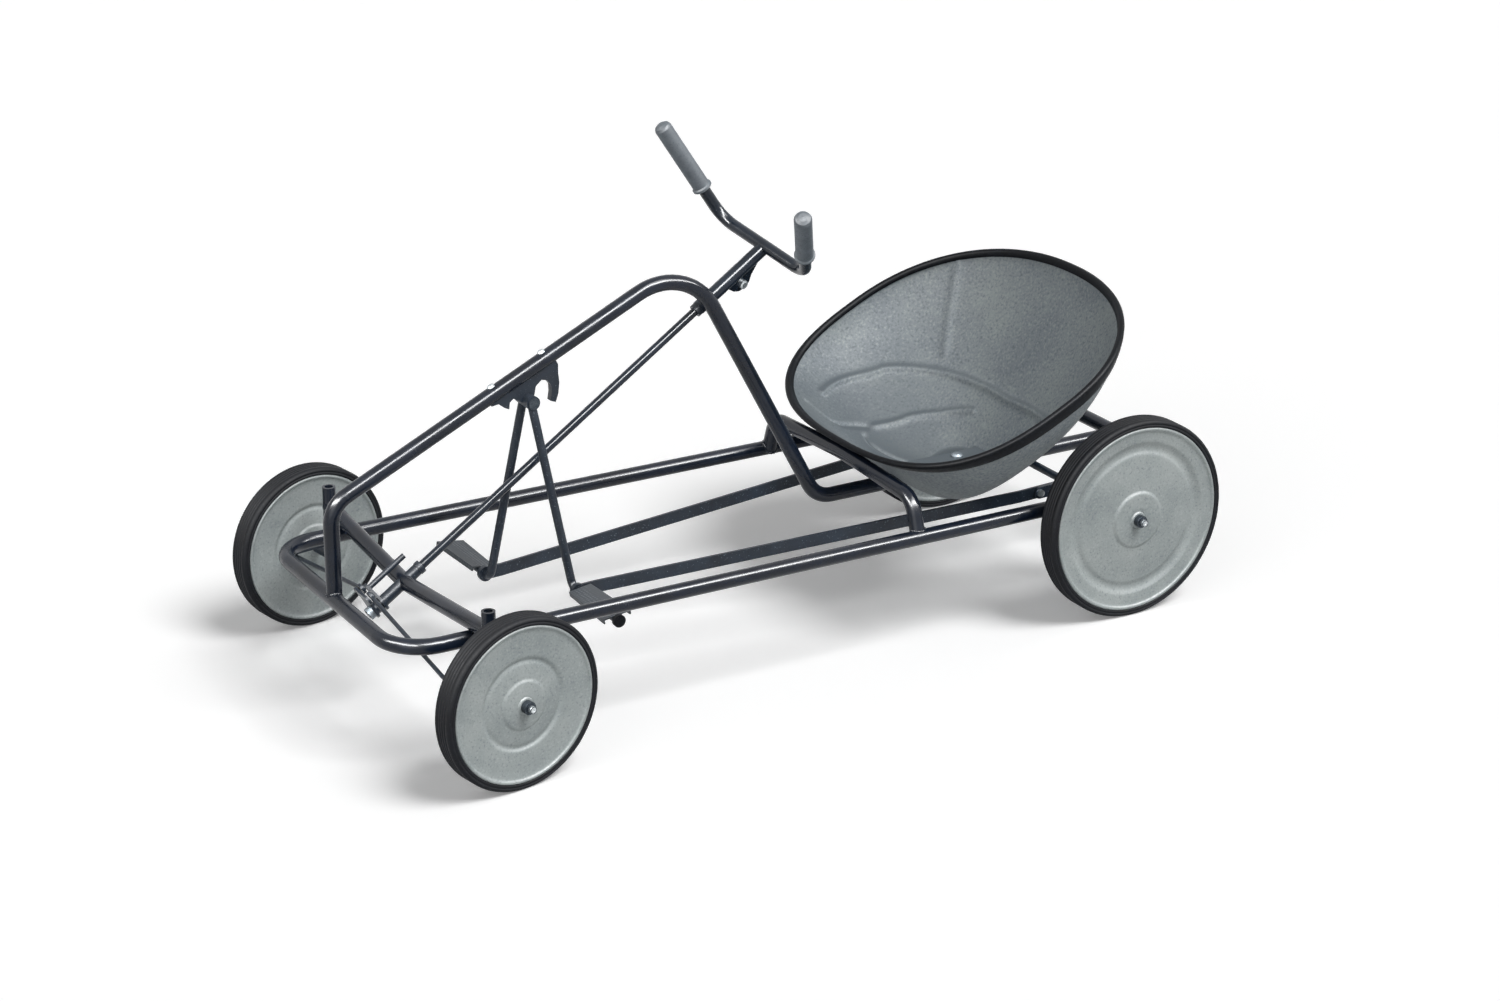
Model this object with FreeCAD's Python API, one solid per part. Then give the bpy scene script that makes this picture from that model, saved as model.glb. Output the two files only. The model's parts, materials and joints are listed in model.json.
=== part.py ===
"""Child's pedal kart: tube frame, bucket seat, handlebar steering and treadle drive.

Millimetres, +Z up, +X forwards, +Y to the driver's left. The kart is laid out from the
point on the ground below the rear axle, and moved at the end so that the origin is the
middle of its footprint. It stands as parked: steered a little to the left, with the left
pedal back and the right pedal forward.
"""
import FreeCAD
import Part
import math
import os

V = FreeCAD.Vector
X_AXIS = V(1, 0, 0)
Y_AXIS = V(0, 1, 0)
Z_AXIS = V(0, 0, 1)
LEFT = 1
RIGHT = -1
SIDES = {"left": LEFT, "right": RIGHT}

# ---- fits and clearances -------------------------------------------------------------
running_clearance = 0.05      # on the radius, where a shaft turns in its bore
fixed_clearance = 0.02        # on the radius, where a piece is pushed on and stays
seat_gap = 0.3                # between pieces that only lie against each other

# ---- wheels --------------------------------------------------------------------------
wheelbase = 1034.0
rear_wheel_radius = 150.0
front_wheel_radius = 119.2
tyre_thickness = 10.5
wheel_width = 34.0
rear_track = 499.4            # between the middle planes of the wheels
front_track = 630.0
disc_sheet = 1.6
hub_radius = 13.0
hub_overhang = 2.5            # hub beyond the tyre's face
axle_radius = 6.0
nut_radius = 9.0
nut_length = 8.0
thread_show = 1.5             # thread left beyond the nut
cap_pin_radius = 5.0          # axle ends turned down for push-on hub caps
cap_pin_length = 6.0

# ---- base frame ----------------------------------------------------------------------
tube_radius = 11.0
tube_wall = 1.5
rail_height = 171.0
rail_spread = 417.6           # between the centres of the two side rails
front_bar_x = 1141.0
rear_bar_x = -157.0
front_corner_radius = 62.0
rear_corner_radius = 45.0

# ---- spine: one bent tube in the middle plane ----------------------------------------
spine_foot_x = 1139.0
spine_shoulder_height = 303.0
spine_peak_x = 595.0
spine_peak_height = 562.0
spine_heel_x = 382.0
spine_run_height = 169.0
spine_shoulder_bend = 42.0
spine_peak_bend = 90.0
spine_heel_bend = 42.0

# ---- front beam and kingpins ---------------------------------------------------------
kingpin_spread = 510.0
kingpin_radius = 6.0
kingpin_tube_radius = 9.5
kingpin_tube_bottom = 168.0
kingpin_tube_top = 226.0
kingpin_top_depth = 5.0       # pin's end below the tube's mouth
beam_saddle_depth = 1.0
stub_bend = 13.0
steering_arm_length = 59.4
steering_arm_height = 143.0
steering_arm_width = 16.0
track_rod_radius = 3.0
plate_thickness = 4.0
plate_margin = 4.0            # plate left round a welded or bored bar

# ---- steering column -----------------------------------------------------------------
column_slope = 33.24          # degrees above level, rising to the rear
column_slant = 2.24           # degrees to the right, so that it passes the spine
column_foot_x = 1085.3
column_foot_height = 140.8
column_radius = 6.0
column_turn = 15.7            # degrees to the left as parked
steering_ratio = 0.6          # wheel angle over column angle
sleeve_radius = 8.5
sleeve_start = 20.0           # distances along the column from its foot
sleeve_end = 84.0
guide_middle = 628.5
guide_length = 14.0
guide_bite = 0.6              # the welded guide reaches this far into the spine
stem_start = 637.0
handlebar_station = 751.8
stem_radius = 10.0
lug_station = 696.5
lug_bolt_drop = 24.0
lug_bolt_radius = 3.5
collar_radius = 9.5
collar_length = 7.0
crank_reach = 36.0
crank_pin_spread = 22.0
crank_boss_radius = 12.0
crank_eye_radius = 8.0
track_rivet_radius = 3.0
track_rivet_head = 5.5
crank_gap = 2.6               # the two track rods float this far above the crank
brace_radius = 4.0
brace_side = -19.0
brace_rise = 19.0

# ---- handlebar and grips -------------------------------------------------------------
bar_radius = 8.75
bar_wall = 1.5
bar_half_width = 89.7
bar_bend = 36.0
bar_rise = 3.0
bar_clamp = 40.0              # straight middle of the bar, each way, that the stem meets
grip_out = 62.0               # from the bend to the tip of the grip: sideways,
grip_up = 163.0               # up, at right angles to the column,
grip_back = 2.5               # and along the column
grip_length = 118.0
grip_radius = 12.5
grip_flange_radius = 14.6
grip_flange = 4.0
grip_end_wall = 4.0

# ---- pedals --------------------------------------------------------------------------
pivot_x = 845.0
pivot_drop = 37.0             # below the spine's centre line, square to it
pivot_pin_radius = 5.0
lever_length = 272.0
lever_swing = 8.8             # degrees each way from hanging straight
lever_radius = 6.0
lever_eye_radius = 10.0
lever_eye_width = 14.0
lever_foot_side = 44.0
lever_foot_bend = 12.0
hanger_thickness = 10.0
rod_front_side = 60.0
pedal_inner_side = 68.0
pedal_outer_side = 176.0
pedal_inner_width = 34.0
pedal_outer_width = 42.0
pedal_lip = 7.0
pedal_sheet = 2.0
pedal_knob_radius = 9.0
pedal_knob_length = 8.0

# ---- push rods and cranked axle ------------------------------------------------------
rod_height = 18.0
rod_thickness = 4.0
rod_eye_radius = 11.0
rod_eye_width = 7.0
rod_rear_side = 125.0
rod_rise_over_pin = 15.0
rod_front_straight = 26.0
rod_rear_straight = 150.0
strap_start = 92.0            # bolts of the crank strap, ahead of the crank pin
strap_bolt_pitch = 26.0
strap_thickness = 4.0
strap_bolt_radius = 3.0
boss_radius = 14.0
boss_width = 16.0
bush_wall = 3.0
journal_gap = 0.4             # each side of the strap's boss, where the crank is parted
crank_web_bend = 9.0
crank_web_offset = 21.0       # from the middle of the pin to the middle of each web
hanger_width = 30.0
bearing_length = 14.0
bearing_bush_radius = 9.0

# ---- seat ----------------------------------------------------------------------------
arch_x = 339.0
arch_height = 232.5
arch_shoulder = 22.0          # inboard of the rail's centre
arch_shoulder_height = 224.0
arch_foot_inset = 4.0
arch_bend = 34.0
arch_crown = 400.0            # bend radius in the middle of the arch
seat_tilt = 26.3              # degrees, rim plane rising to the rear
seat_middle_x = 144.4
seat_middle_height = 351.0
seat_front_reach = 227.0
seat_back_reach = 228.0
seat_half_width = 277.0
seat_wall = 4.0
seat_depth = 178.0
seat_floor_front = 105.0      # floor of the pan, ahead of the middle of the rim
seat_floor_back = -30.0
seat_lip = 55.0               # how far the front slopes back below the rim
seat_floor_half_width = 66.0
edging_radius = 5.0
seat_bolt_x = 136.0
seat_bolt_radius = 4.0
seat_bolt_below = 17.0        # bolt that shows below the spine, through the wing nut
seat_channel_gap = 3.0        # between the spine and the seat's middle ridge
saddle_length = 60.0

# ---- worked-out places ---------------------------------------------------------------
rail_side = rail_spread / 2
kingpin_side = kingpin_spread / 2
front_wheel_side = front_track / 2
rear_wheel_side = rear_track / 2
axle_height = rear_wheel_radius
stub_height = front_wheel_radius
steer_angle = column_turn * steering_ratio
crank_throw = lever_length * math.sin(math.radians(lever_swing))
journal_half = boss_width / 2 + journal_gap

parts = {}


# ---- helpers -------------------------------------------------------------------------
def bent_path(points, bends, closed=False):
    """Wire of straight runs joined by tangent arcs, with one bend radius per corner."""
    count = len(points)
    corners = range(count) if closed else range(1, count - 1)
    arcs = {}
    for number, index in enumerate(corners):
        corner = points[index]
        arriving = (corner - points[index - 1]).normalize()
        leaving = (points[(index + 1) % count] - corner).normalize()
        turn = arriving.getAngle(leaving)
        reach = bends[number] * math.tan(turn / 2)
        start = corner - arriving * reach
        end = corner + leaving * reach
        inward = (leaving - arriving).normalize()
        centre = corner + inward * (bends[number] / math.cos(turn / 2))
        arcs[index] = (start, centre - inward * bends[number], end)
    edges = []
    for index in range(count if closed else count - 1):
        following = (index + 1) % count
        run_start = arcs[index][2] if index in arcs else points[index]
        run_end = arcs[following][0] if following in arcs else points[following]
        edges.append(Part.makeLine(run_start, run_end))
        if following in arcs:
            edges.append(Part.Arc(*arcs[following]).toShape())
    return Part.Wire(edges)


def swept(path, start, direction, radius):
    """Round bar swept along a path that leaves start in the given direction."""
    circle = Part.Wire(Part.Circle(start, direction, radius).toShape())
    return path.makePipeShell([circle], True, False)


def bent_bar(points, bends, radius):
    return swept(bent_path(points, bends), points[0], points[1] - points[0], radius)


def bent_tube(points, bends, radius, wall):
    return bent_bar(points, bends, radius).cut(bent_bar(points, bends, radius - wall))


def rod(start, end, radius):
    along = end - start
    return Part.makeCylinder(radius, along.Length, start, along)


def ring(start, end, radius, bore):
    return rod(start, end, radius).cut(rod(start, end, bore))


def spun(profile, start, direction):
    """Solid of revolution: profile holds (distance along, radius) pairs."""
    points = [V(radius, 0, along) for along, radius in profile]
    face = Part.Face(Part.makePolygon(points + points[:1]))
    solid = face.revolve(V(0, 0, 0), Z_AXIS, 360)
    solid.Placement = FreeCAD.Placement(start, FreeCAD.Rotation(Z_AXIS, direction))
    return solid


def plate(outline, origin, along, across, thickness):
    """Flat plate from (along, across) pairs, centred on the plane through origin."""
    normal = along.cross(across).normalize()
    start = origin - normal * (thickness / 2)
    points = [start + along * a + across * b for a, b in outline]
    return Part.Face(Part.makePolygon(points + points[:1])).extrude(normal * thickness)


def link_plate(first, second, first_radius, second_radius, thickness, axis):
    """Plate square to axis with round ends about two points and tangent flanks."""
    along = second - first
    lift = math.acos((first_radius - second_radius) / along.Length)
    outward = FreeCAD.Rotation(axis, math.degrees(lift)).multVec(V(along).normalize())
    inward = FreeCAD.Rotation(axis, -math.degrees(lift)).multVec(V(along).normalize())
    start = axis * (-thickness / 2)
    corners = [first + outward * first_radius, second + outward * second_radius,
               second + inward * second_radius, first + inward * first_radius]
    corners = [corner + start for corner in corners]
    web = Part.Face(Part.makePolygon(corners + corners[:1])).extrude(axis * thickness)
    for centre, radius in ((first, first_radius), (second, second_radius)):
        web = web.fuse(Part.makeCylinder(radius, thickness, centre + start, axis))
    return web.removeSplitter()


def turned(shape, centre, axis, degrees):
    copy = shape.copy()
    copy.rotate(centre, axis, degrees)
    return copy


def mirrored(shape):
    return shape.mirror(V(0, 0, 0), Y_AXIS)


def on_side(shape, side):
    return shape if side == LEFT else mirrored(shape)


def fused(shapes):
    return shapes[0].multiFuse(shapes[1:]).removeSplitter()


def add(name, *solids):
    parts[name] = list(solids)


# ---- base frame ----------------------------------------------------------------------
def loop_bar(radius):
    corners = [V(front_bar_x, rail_side, rail_height), V(rear_bar_x, rail_side, rail_height),
               V(rear_bar_x, -rail_side, rail_height), V(front_bar_x, -rail_side, rail_height)]
    bends = [front_corner_radius, rear_corner_radius, rear_corner_radius, front_corner_radius]
    path = bent_path(corners, bends, closed=True)
    start = corners[0] - X_AXIS * front_corner_radius
    return swept(path, start, -X_AXIS, radius)


def spine_points():
    return [V(spine_foot_x, 0, rail_height), V(spine_foot_x, 0, spine_shoulder_height),
            V(spine_peak_x, 0, spine_peak_height), V(spine_heel_x, 0, spine_run_height),
            V(rear_bar_x, 0, spine_run_height)]


def spine_bar(radius):
    bends = [spine_shoulder_bend, spine_peak_bend, spine_heel_bend]
    return bent_bar(spine_points(), bends, radius)


def spine_slope():
    """A point on the spine's long slope above the pedal pivot, and its direction."""
    shoulder, peak = spine_points()[1:3]
    along = (peak - shoulder).normalize()
    return shoulder, along


def pivot_place():
    shoulder, along = spine_slope()
    down = V(-along.z, 0, along.x)
    travel = (shoulder.x - pivot_x + down.x * pivot_drop) / -along.x
    return shoulder + along * travel + down * pivot_drop, along, down


def front_beam_bar(radius):
    """Beam between the kingpin tubes: it dips to the rails' height in the middle."""
    slope = (2 * tube_radius - beam_saddle_depth) / rail_side
    end_height = rail_height + slope * kingpin_side
    points = [V(wheelbase, kingpin_side, end_height), V(wheelbase, 0, rail_height),
              V(wheelbase, -kingpin_side, end_height)]
    return bent_bar(points, [kingpin_side], radius)


def build_frame():
    loop_outer = loop_bar(tube_radius)
    add("base_loop", loop_outer.cut(loop_bar(tube_radius - tube_wall)))
    spine_hollow = spine_bar(tube_radius).cut(spine_bar(tube_radius - tube_wall))
    add("spine_tube", spine_hollow.cut(loop_outer).cut(seat_bolt_hole()))

    kingpin_bars = []
    kingpin_tubes = []
    for side in SIDES.values():
        bottom = V(wheelbase, side * kingpin_side, kingpin_tube_bottom)
        top = V(wheelbase, side * kingpin_side, kingpin_tube_top)
        kingpin_bars.append(rod(bottom, top, kingpin_tube_radius))
        kingpin_tubes.append(ring(bottom, top, kingpin_tube_radius,
                                  kingpin_radius + running_clearance))
    add("kingpin_tubes", *kingpin_tubes)

    beam = front_beam_bar(tube_radius).cut(front_beam_bar(tube_radius - tube_wall))
    for solid in kingpin_bars + [loop_outer, sleeve_bar(sleeve_radius)]:
        beam = beam.cut(solid)
    add("front_beam", max(beam.Solids, key=lambda solid: solid.Volume))

    foot = V(arch_x, rail_side - arch_foot_inset, rail_height)
    shoulder = V(arch_x, rail_side - arch_shoulder, arch_shoulder_height)
    points = [foot, shoulder, V(arch_x, 0, arch_height),
              V(arch_x, -shoulder.y, shoulder.z), V(arch_x, -foot.y, foot.z)]
    arch = bent_tube(points, [arch_bend, arch_crown, arch_bend], tube_radius, tube_wall)
    arch = arch.cut(loop_outer)
    add("seat_arch", max(arch.Solids, key=lambda solid: solid.Volume))

    bearings = [axle_bearing(side, loop_outer) for side in SIDES.values()]
    add("axle_hangers", *[hanger for hanger, bush in bearings])
    add("axle_bushes", *[bush for hanger, bush in bearings])


def axle_bearing(side, loop_outer):
    """Hanger welded below a rail, and its bush for the rear axle."""
    middle = V(0, side * rail_side, axle_height)
    low = middle - Y_AXIS * (bearing_length / 2)
    high = middle + Y_AXIS * (bearing_length / 2)
    block = Part.makeBox(hanger_width, bearing_length, rail_height - axle_height,
                         low - X_AXIS * (hanger_width / 2))
    hanger = block.fuse(rod(low, high, hanger_width / 2)).removeSplitter()
    hanger = hanger.cut(loop_outer).cut(rod(low, high, bearing_bush_radius + fixed_clearance))
    return hanger, ring(low, high, bearing_bush_radius, axle_radius + running_clearance)


# ---- steering column -----------------------------------------------------------------
slope_angle = math.radians(column_slope)
slant_angle = math.radians(column_slant)
column_rearward = V(-math.cos(slant_angle), -math.sin(slant_angle), 0)
column_across = V(-math.sin(slant_angle), math.cos(slant_angle), 0)
column_along = column_rearward * math.cos(slope_angle) + Z_AXIS * math.sin(slope_angle)
column_up = Z_AXIS * math.cos(slope_angle) - column_rearward * math.sin(slope_angle)
column_foot = V(column_foot_x, 0, column_foot_height)


def on_column(station, side=0.0, rise=0.0):
    """Point at a distance along the column, offset sideways and square to it."""
    return (column_foot + column_along * station + column_across * side
            + column_up * rise)


def steered_column(shape):
    return turned(shape, column_foot, column_along, column_turn)


def sleeve_bar(radius):
    return rod(on_column(sleeve_start), on_column(sleeve_end), radius)


def build_column_bearings():
    bore = column_radius + running_clearance
    sleeve = sleeve_bar(sleeve_radius).cut(sleeve_bar(bore))
    add("column_sleeve", sleeve)

    plate_middle = sleeve_start - plate_thickness / 2
    first = on_column(plate_middle)
    second = on_column(plate_middle, brace_side, brace_rise)
    bearing_plate = link_plate(first, second, sleeve_radius + plate_margin,
                               brace_radius + plate_margin, plate_thickness, column_along)
    bearing_plate = bearing_plate.cut(rod(on_column(0), on_column(sleeve_end), bore))
    add("column_plate", bearing_plate)

    brace = rod(on_column(sleeve_start, brace_side, brace_rise),
                on_column(sleeve_end, brace_side, brace_rise), brace_radius)
    brace = brace.cut(front_beam_bar(tube_radius))
    add("column_brace", min(brace.Solids, key=lambda solid: solid.CenterOfMass.z))

    start = guide_middle - guide_length / 2
    guide_radius = abs(on_column(guide_middle).y) - tube_radius + guide_bite
    guide = ring(on_column(start), on_column(start + guide_length), guide_radius, bore)
    add("column_guide", guide.cut(spine_bar(tube_radius)))


def build_column():
    bar_axis = rod(on_column(handlebar_station, -bar_clamp, bar_rise),
                   on_column(handlebar_station, bar_clamp, bar_rise), bar_radius)
    column = rod(on_column(-nut_length), on_column(handlebar_station - bar_radius - 8),
                 column_radius)
    add("column_rod", steered_column(column))

    stem = ring(on_column(stem_start), on_column(handlebar_station), stem_radius,
                column_radius + fixed_clearance)
    stem = stem.cut(bar_axis)
    stem = max(stem.Solids, key=lambda solid: solid.Volume)
    lug_outline = [(-25, -stem_radius + 2), (44, -stem_radius + 2), (19, -22), (11, -30),
                   (1, -33), (-9, -31), (-17, -24)]
    lug = plate(lug_outline, on_column(lug_station), column_along, column_up,
                plate_thickness)
    bolt_place = on_column(lug_station, 0, -lug_bolt_drop)
    lug_half = plate_thickness / 2
    lug = lug.cut(rod(bolt_place - column_across * lug_half,
                      bolt_place + column_across * lug_half,
                      lug_bolt_radius + fixed_clearance))
    lug = lug.cut(rod(on_column(stem_start), on_column(handlebar_station), stem_radius))
    lug = lug.cut(bar_axis)
    bolt = spun([(-lug_half - 4, 0), (-lug_half - 4, 6), (-lug_half, 6),
                 (-lug_half, lug_bolt_radius), (lug_half, lug_bolt_radius),
                 (lug_half, 6.5), (lug_half + 4, 6.5), (lug_half + 5, 4),
                 (lug_half + 5, 0)], bolt_place, column_across)
    add("stem_tube", steered_column(fused([stem, lug])))
    add("stem_bolt", steered_column(bolt))

    collars = []
    for start in (sleeve_end + seat_gap, guide_middle - guide_length / 2 - collar_length
                  - seat_gap):
        collars.append(steered_column(ring(on_column(start), on_column(start + collar_length),
                                           collar_radius, column_radius + fixed_clearance)))
    crank_middle = plate_thickness / 2
    pin_low = on_column(crank_middle, -crank_pin_spread / 2, crank_reach)
    pin_high = on_column(crank_middle, crank_pin_spread / 2, crank_reach)
    head = link_plate(pin_low, pin_high, crank_eye_radius, crank_eye_radius,
                      plate_thickness, column_along)
    arm = link_plate(on_column(crank_middle), on_column(crank_middle, 0, crank_reach),
                     crank_boss_radius, crank_eye_radius, plate_thickness, column_along)
    bore = rod(on_column(0), on_column(plate_thickness), column_radius + fixed_clearance)
    add("column_crank", steered_column(fused([head, arm]).cut(bore)))

    spacer = ring(on_column(plate_thickness), on_column(sleeve_start - plate_thickness
                                                        - seat_gap),
                  column_radius + 3, column_radius + fixed_clearance)
    nut = ring(on_column(-nut_length + 1), on_column(0), nut_radius,
               column_radius + fixed_clearance)
    add("column_collars", *collars, steered_column(spacer))
    add("column_nut", steered_column(nut))


def bar_points():
    """Centre line of the handlebar: tip, bend, bend, tip."""
    tip_side = bar_half_width + grip_out
    bends = [on_column(handlebar_station, side * bar_half_width, bar_rise)
             for side in (LEFT, RIGHT)]
    tips = [on_column(handlebar_station + grip_back, side * tip_side, bar_rise + grip_up)
            for side in (LEFT, RIGHT)]
    return tips[0], bends[0], bends[1], tips[1]


def build_handlebar():
    tip, bend, far_bend, far_tip = bar_points()
    out = (tip - bend).normalize()
    far_out = (far_tip - far_bend).normalize()
    inset = grip_end_wall + seat_gap
    points = [tip - out * inset, bend, far_bend, far_tip - far_out * inset]
    bar = bent_tube(points, [bar_bend, bar_bend], bar_radius, bar_wall)
    add("handlebar", steered_column(bar))
    dome = grip_radius * 0.6
    bore = bar_radius + fixed_clearance
    profile = [(0, bore), (0, grip_flange_radius - 1), (1, grip_flange_radius),
               (grip_flange, grip_flange_radius), (grip_flange + 2, grip_radius),
               (grip_length - dome, grip_radius), (grip_length - dome * 0.45,
                                                  grip_radius * 0.86),
               (grip_length - dome * 0.1, grip_radius * 0.5), (grip_length, 0),
               (grip_length - grip_end_wall, 0), (grip_length - grip_end_wall, bore)]
    for name, end, direction in (("left", tip, out), ("right", far_tip, far_out)):
        grip = spun(profile, end - direction * grip_length, direction)
        add("grip_" + name, steered_column(grip))


# ---- front axle ----------------------------------------------------------------------
def steered_wheel(shape, side):
    return turned(shape, V(wheelbase, side * kingpin_side, 0), Z_AXIS, steer_angle)


def arm_pin(side):
    return V(wheelbase + steering_arm_length, side * kingpin_side, steering_arm_height)


def build_knuckle(name, side):
    """Kingpin and stub axle bent from one bar, with the steering arm welded on."""
    nut_start = front_wheel_side + wheel_width / 2 + hub_overhang + seat_gap
    end_side = nut_start + nut_length + thread_show
    points = [V(wheelbase, kingpin_side, kingpin_tube_top - kingpin_top_depth),
              V(wheelbase, kingpin_side, stub_height), V(wheelbase, end_side, stub_height)]
    bar = bent_bar(points, [stub_bend], kingpin_radius)
    cap_pin = rod(points[-1] - Y_AXIS, points[-1] + Y_AXIS * cap_pin_length, cap_pin_radius)
    pin = arm_pin(LEFT)
    low = Z_AXIS * (plate_thickness / 2)
    half = steering_arm_width / 2
    arm = Part.makeBox(steering_arm_length, steering_arm_width, plate_thickness,
                       V(wheelbase, kingpin_side - half, steering_arm_height) - low)
    for centre in (V(wheelbase, kingpin_side, steering_arm_height), pin):
        arm = arm.fuse(rod(centre - low, centre + low, half))
    collar_top = kingpin_tube_bottom - seat_gap
    collar = rod(V(wheelbase, kingpin_side, collar_top - collar_length),
                 V(wheelbase, kingpin_side, collar_top), collar_radius)
    body = fused([bar, cap_pin, arm, collar])
    body = body.cut(rod(pin - low, pin + low, track_rod_radius + running_clearance))
    add("knuckle_" + name, steered_wheel(on_side(body, side), side))

    nut = ring(V(wheelbase, nut_start, stub_height),
               V(wheelbase, nut_start + nut_length, stub_height), nut_radius,
               kingpin_radius + fixed_clearance)
    add("front_nut_" + name, steered_wheel(on_side(nut, side), side))


def crank_pin(side):
    """Where a track rod meets the column's crank, as parked."""
    station = plate_thickness + crank_gap + plate_thickness / 2
    point = on_column(station, side * crank_pin_spread / 2, crank_reach)
    turn = FreeCAD.Rotation(column_along, column_turn)
    return column_foot + turn.multVec(point - column_foot)


def build_track_rod(name, side):
    """Round rod: its outer end turns up through the arm, its inner end is an eye."""
    kingpin = V(wheelbase, side * kingpin_side, 0)
    turn = FreeCAD.Rotation(Z_AXIS, steer_angle)
    outer = kingpin + turn.multVec(arm_pin(side) - kingpin)
    corner = outer - Z_AXIS * (plate_thickness / 2 + 2 * track_rod_radius)
    inner = crank_pin(side)
    along = (inner - corner).normalize()
    high = outer + Z_AXIS * (plate_thickness / 2 + track_rod_radius)
    eye_half = column_along * (plate_thickness / 2)
    body = fused([rod(corner, high, track_rod_radius),
                  Part.makeSphere(track_rod_radius, corner),
                  rod(corner, inner - along * (track_rivet_head + 1), track_rod_radius),
                  rod(inner - eye_half, inner + eye_half, crank_eye_radius)])
    body = body.cut(rod(inner - eye_half, inner + eye_half,
                        track_rivet_radius + fixed_clearance))
    face = plate_thickness / 2
    rivet = spun([(-face, 0), (-face, track_rivet_radius), (face, track_rivet_radius),
                  (face, track_rivet_head), (face + 1.5, track_rivet_head - 1),
                  (face + 2.4, track_rivet_head - 3), (face + 2.6, 0)],
                 inner, column_along)
    add("track_rod_" + name, body, rivet)


# ---- wheels --------------------------------------------------------------------------
def tyre_profile(radius, rim):
    half = wheel_width / 2
    round_off = 5.0
    return [(-half, rim), (half, rim), (half, radius - round_off),
            (half - 1.6, radius - 1.6), (half - round_off, radius),
            (-half + round_off, radius), (-half + 1.6, radius - 1.6),
            (-half, radius - round_off)]


def disc_profile(line):
    """Pressed sheet from its outer face line of (axial, radius) pairs."""
    back = [(along - disc_sheet, radius) for along, radius in reversed(line)]
    return line + back


def rear_disc_line(rim):
    face = wheel_width / 2
    return [(face - 4.0, rim), (face + 0.4, rim - 1.0), (face + 0.4, rim - 4.0),
            (face - 2.5, rim - 7.0), (face - 4.0, rim * 0.84), (face - 8.5, rim * 0.77),
            (face - 8.5, rim * 0.72), (face - 5.5, rim * 0.66), (face - 1.5, rim * 0.36),
            (face + 1.5, rim * 0.27), (face + 1.5, hub_radius)]


def front_disc_line(rim):
    face = wheel_width / 2
    return [(face - 4.0, rim), (face + 0.4, rim - 1.0), (face + 0.4, rim - 4.0),
            (face - 3.0, rim - 6.5), (face - 4.5, rim * 0.66), (face - 7.5, rim * 0.57),
            (face - 5.0, rim * 0.5), (face - 3.0, rim * 0.36), (face - 0.5, rim * 0.3),
            (face + 1.0, hub_radius)]


def build_wheel(name, radius, line_of, bore, place):
    """Tyre, two pressed discs and hub about the Y axis, outer face towards +Y."""
    rim = radius - tyre_thickness
    half = wheel_width / 2
    hub_end = half + hub_overhang
    line = line_of(rim - fixed_clearance)
    tyre = spun(tyre_profile(radius, rim), V(0, 0, 0), Y_AXIS)
    discs = [spun(disc_profile(line), V(0, 0, 0), facing) for facing in (Y_AXIS, -Y_AXIS)]
    hub = spun([(-hub_end, bore), (-hub_end, hub_radius - 2),
                (-hub_end + 2, hub_radius - fixed_clearance),
                (hub_end - 2, hub_radius - fixed_clearance), (hub_end, hub_radius - 2),
                (hub_end, bore)], V(0, 0, 0), Y_AXIS)
    add("tyre_" + name, place(tyre))
    return [place(disc) for disc in discs], place(hub)


def build_wheels():
    rear_discs = []
    rear_hubs = []
    for name, side in SIDES.items():
        def place_front(shape, side=side):
            moved = shape.copy()
            moved.translate(V(wheelbase, front_wheel_side, stub_height))
            return steered_wheel(on_side(moved, side), side)

        def place_rear(shape, side=side):
            moved = shape.copy()
            moved.translate(V(0, rear_wheel_side, axle_height))
            return on_side(moved, side)

        discs, hub = build_wheel("front_" + name, front_wheel_radius, front_disc_line,
                                 kingpin_radius + running_clearance, place_front)
        add("discs_front_" + name, *discs)
        add("hub_front_" + name, hub)
        discs, hub = build_wheel("rear_" + name, rear_wheel_radius, rear_disc_line,
                                 axle_radius + fixed_clearance, place_rear)
        rear_discs += discs
        rear_hubs.append(hub)
        build_knuckle(name, side)
        build_track_rod(name, side)
    add("discs_rear", *rear_discs)
    add("hubs_rear", *rear_hubs)


# ---- treadle drive -------------------------------------------------------------------
def build_hanger():
    """Notched plate bolted below the spine, which carries the pin of both levers."""
    pivot, along, down = pivot_place()
    outline = [(-50, -pivot_drop + 6), (60, -pivot_drop + 6), (60, -20), (55, -10), (50, 4),
               (42, 17), (33, 26), (27, 20), (34, 10), (38, 0), (36, -10), (29, -15),
               (18, -12), (12, -4), (0, 9), (-11, -5), (-18, -16), (-25, -14), (-30, -6),
               (-35, -12), (-40, -22), (-50, -25)]
    hanger = plate(outline, pivot, along, down, hanger_thickness)
    low = pivot - Y_AXIS * (hanger_thickness / 2)
    high = pivot + Y_AXIS * (hanger_thickness / 2)
    hanger = hanger.fuse(rod(low, high, lever_eye_radius)).removeSplitter()
    hanger = hanger.cut(spine_bar(tube_radius))
    hanger = hanger.cut(rod(low, high, pivot_pin_radius + fixed_clearance))
    add("pedal_hanger", max(hanger.Solids, key=lambda solid: solid.Volume))

    half = hanger_thickness / 2 + lever_eye_width + 2 * seat_gap
    pin = spun([(-half - 3, 0), (-half - 3, 8), (-half, 8), (-half, pivot_pin_radius),
                (half, pivot_pin_radius), (half, 8), (half + 3, 8), (half + 3, 0)],
               pivot, Y_AXIS)
    add("pedal_pivot_pin", pin)

    bolts = []
    for station in (-37, 48):
        head = pivot + along * station - down * (pivot_drop + tube_radius)
        bolts.append(spun([(0, 0), (0, 5.5), (1.5, 5.2), (3.2, 3.4), (3.8, 0)], head, -down)
                     .cut(spine_bar(tube_radius)))
    add("pedal_hanger_bolts", *bolts)


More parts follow.
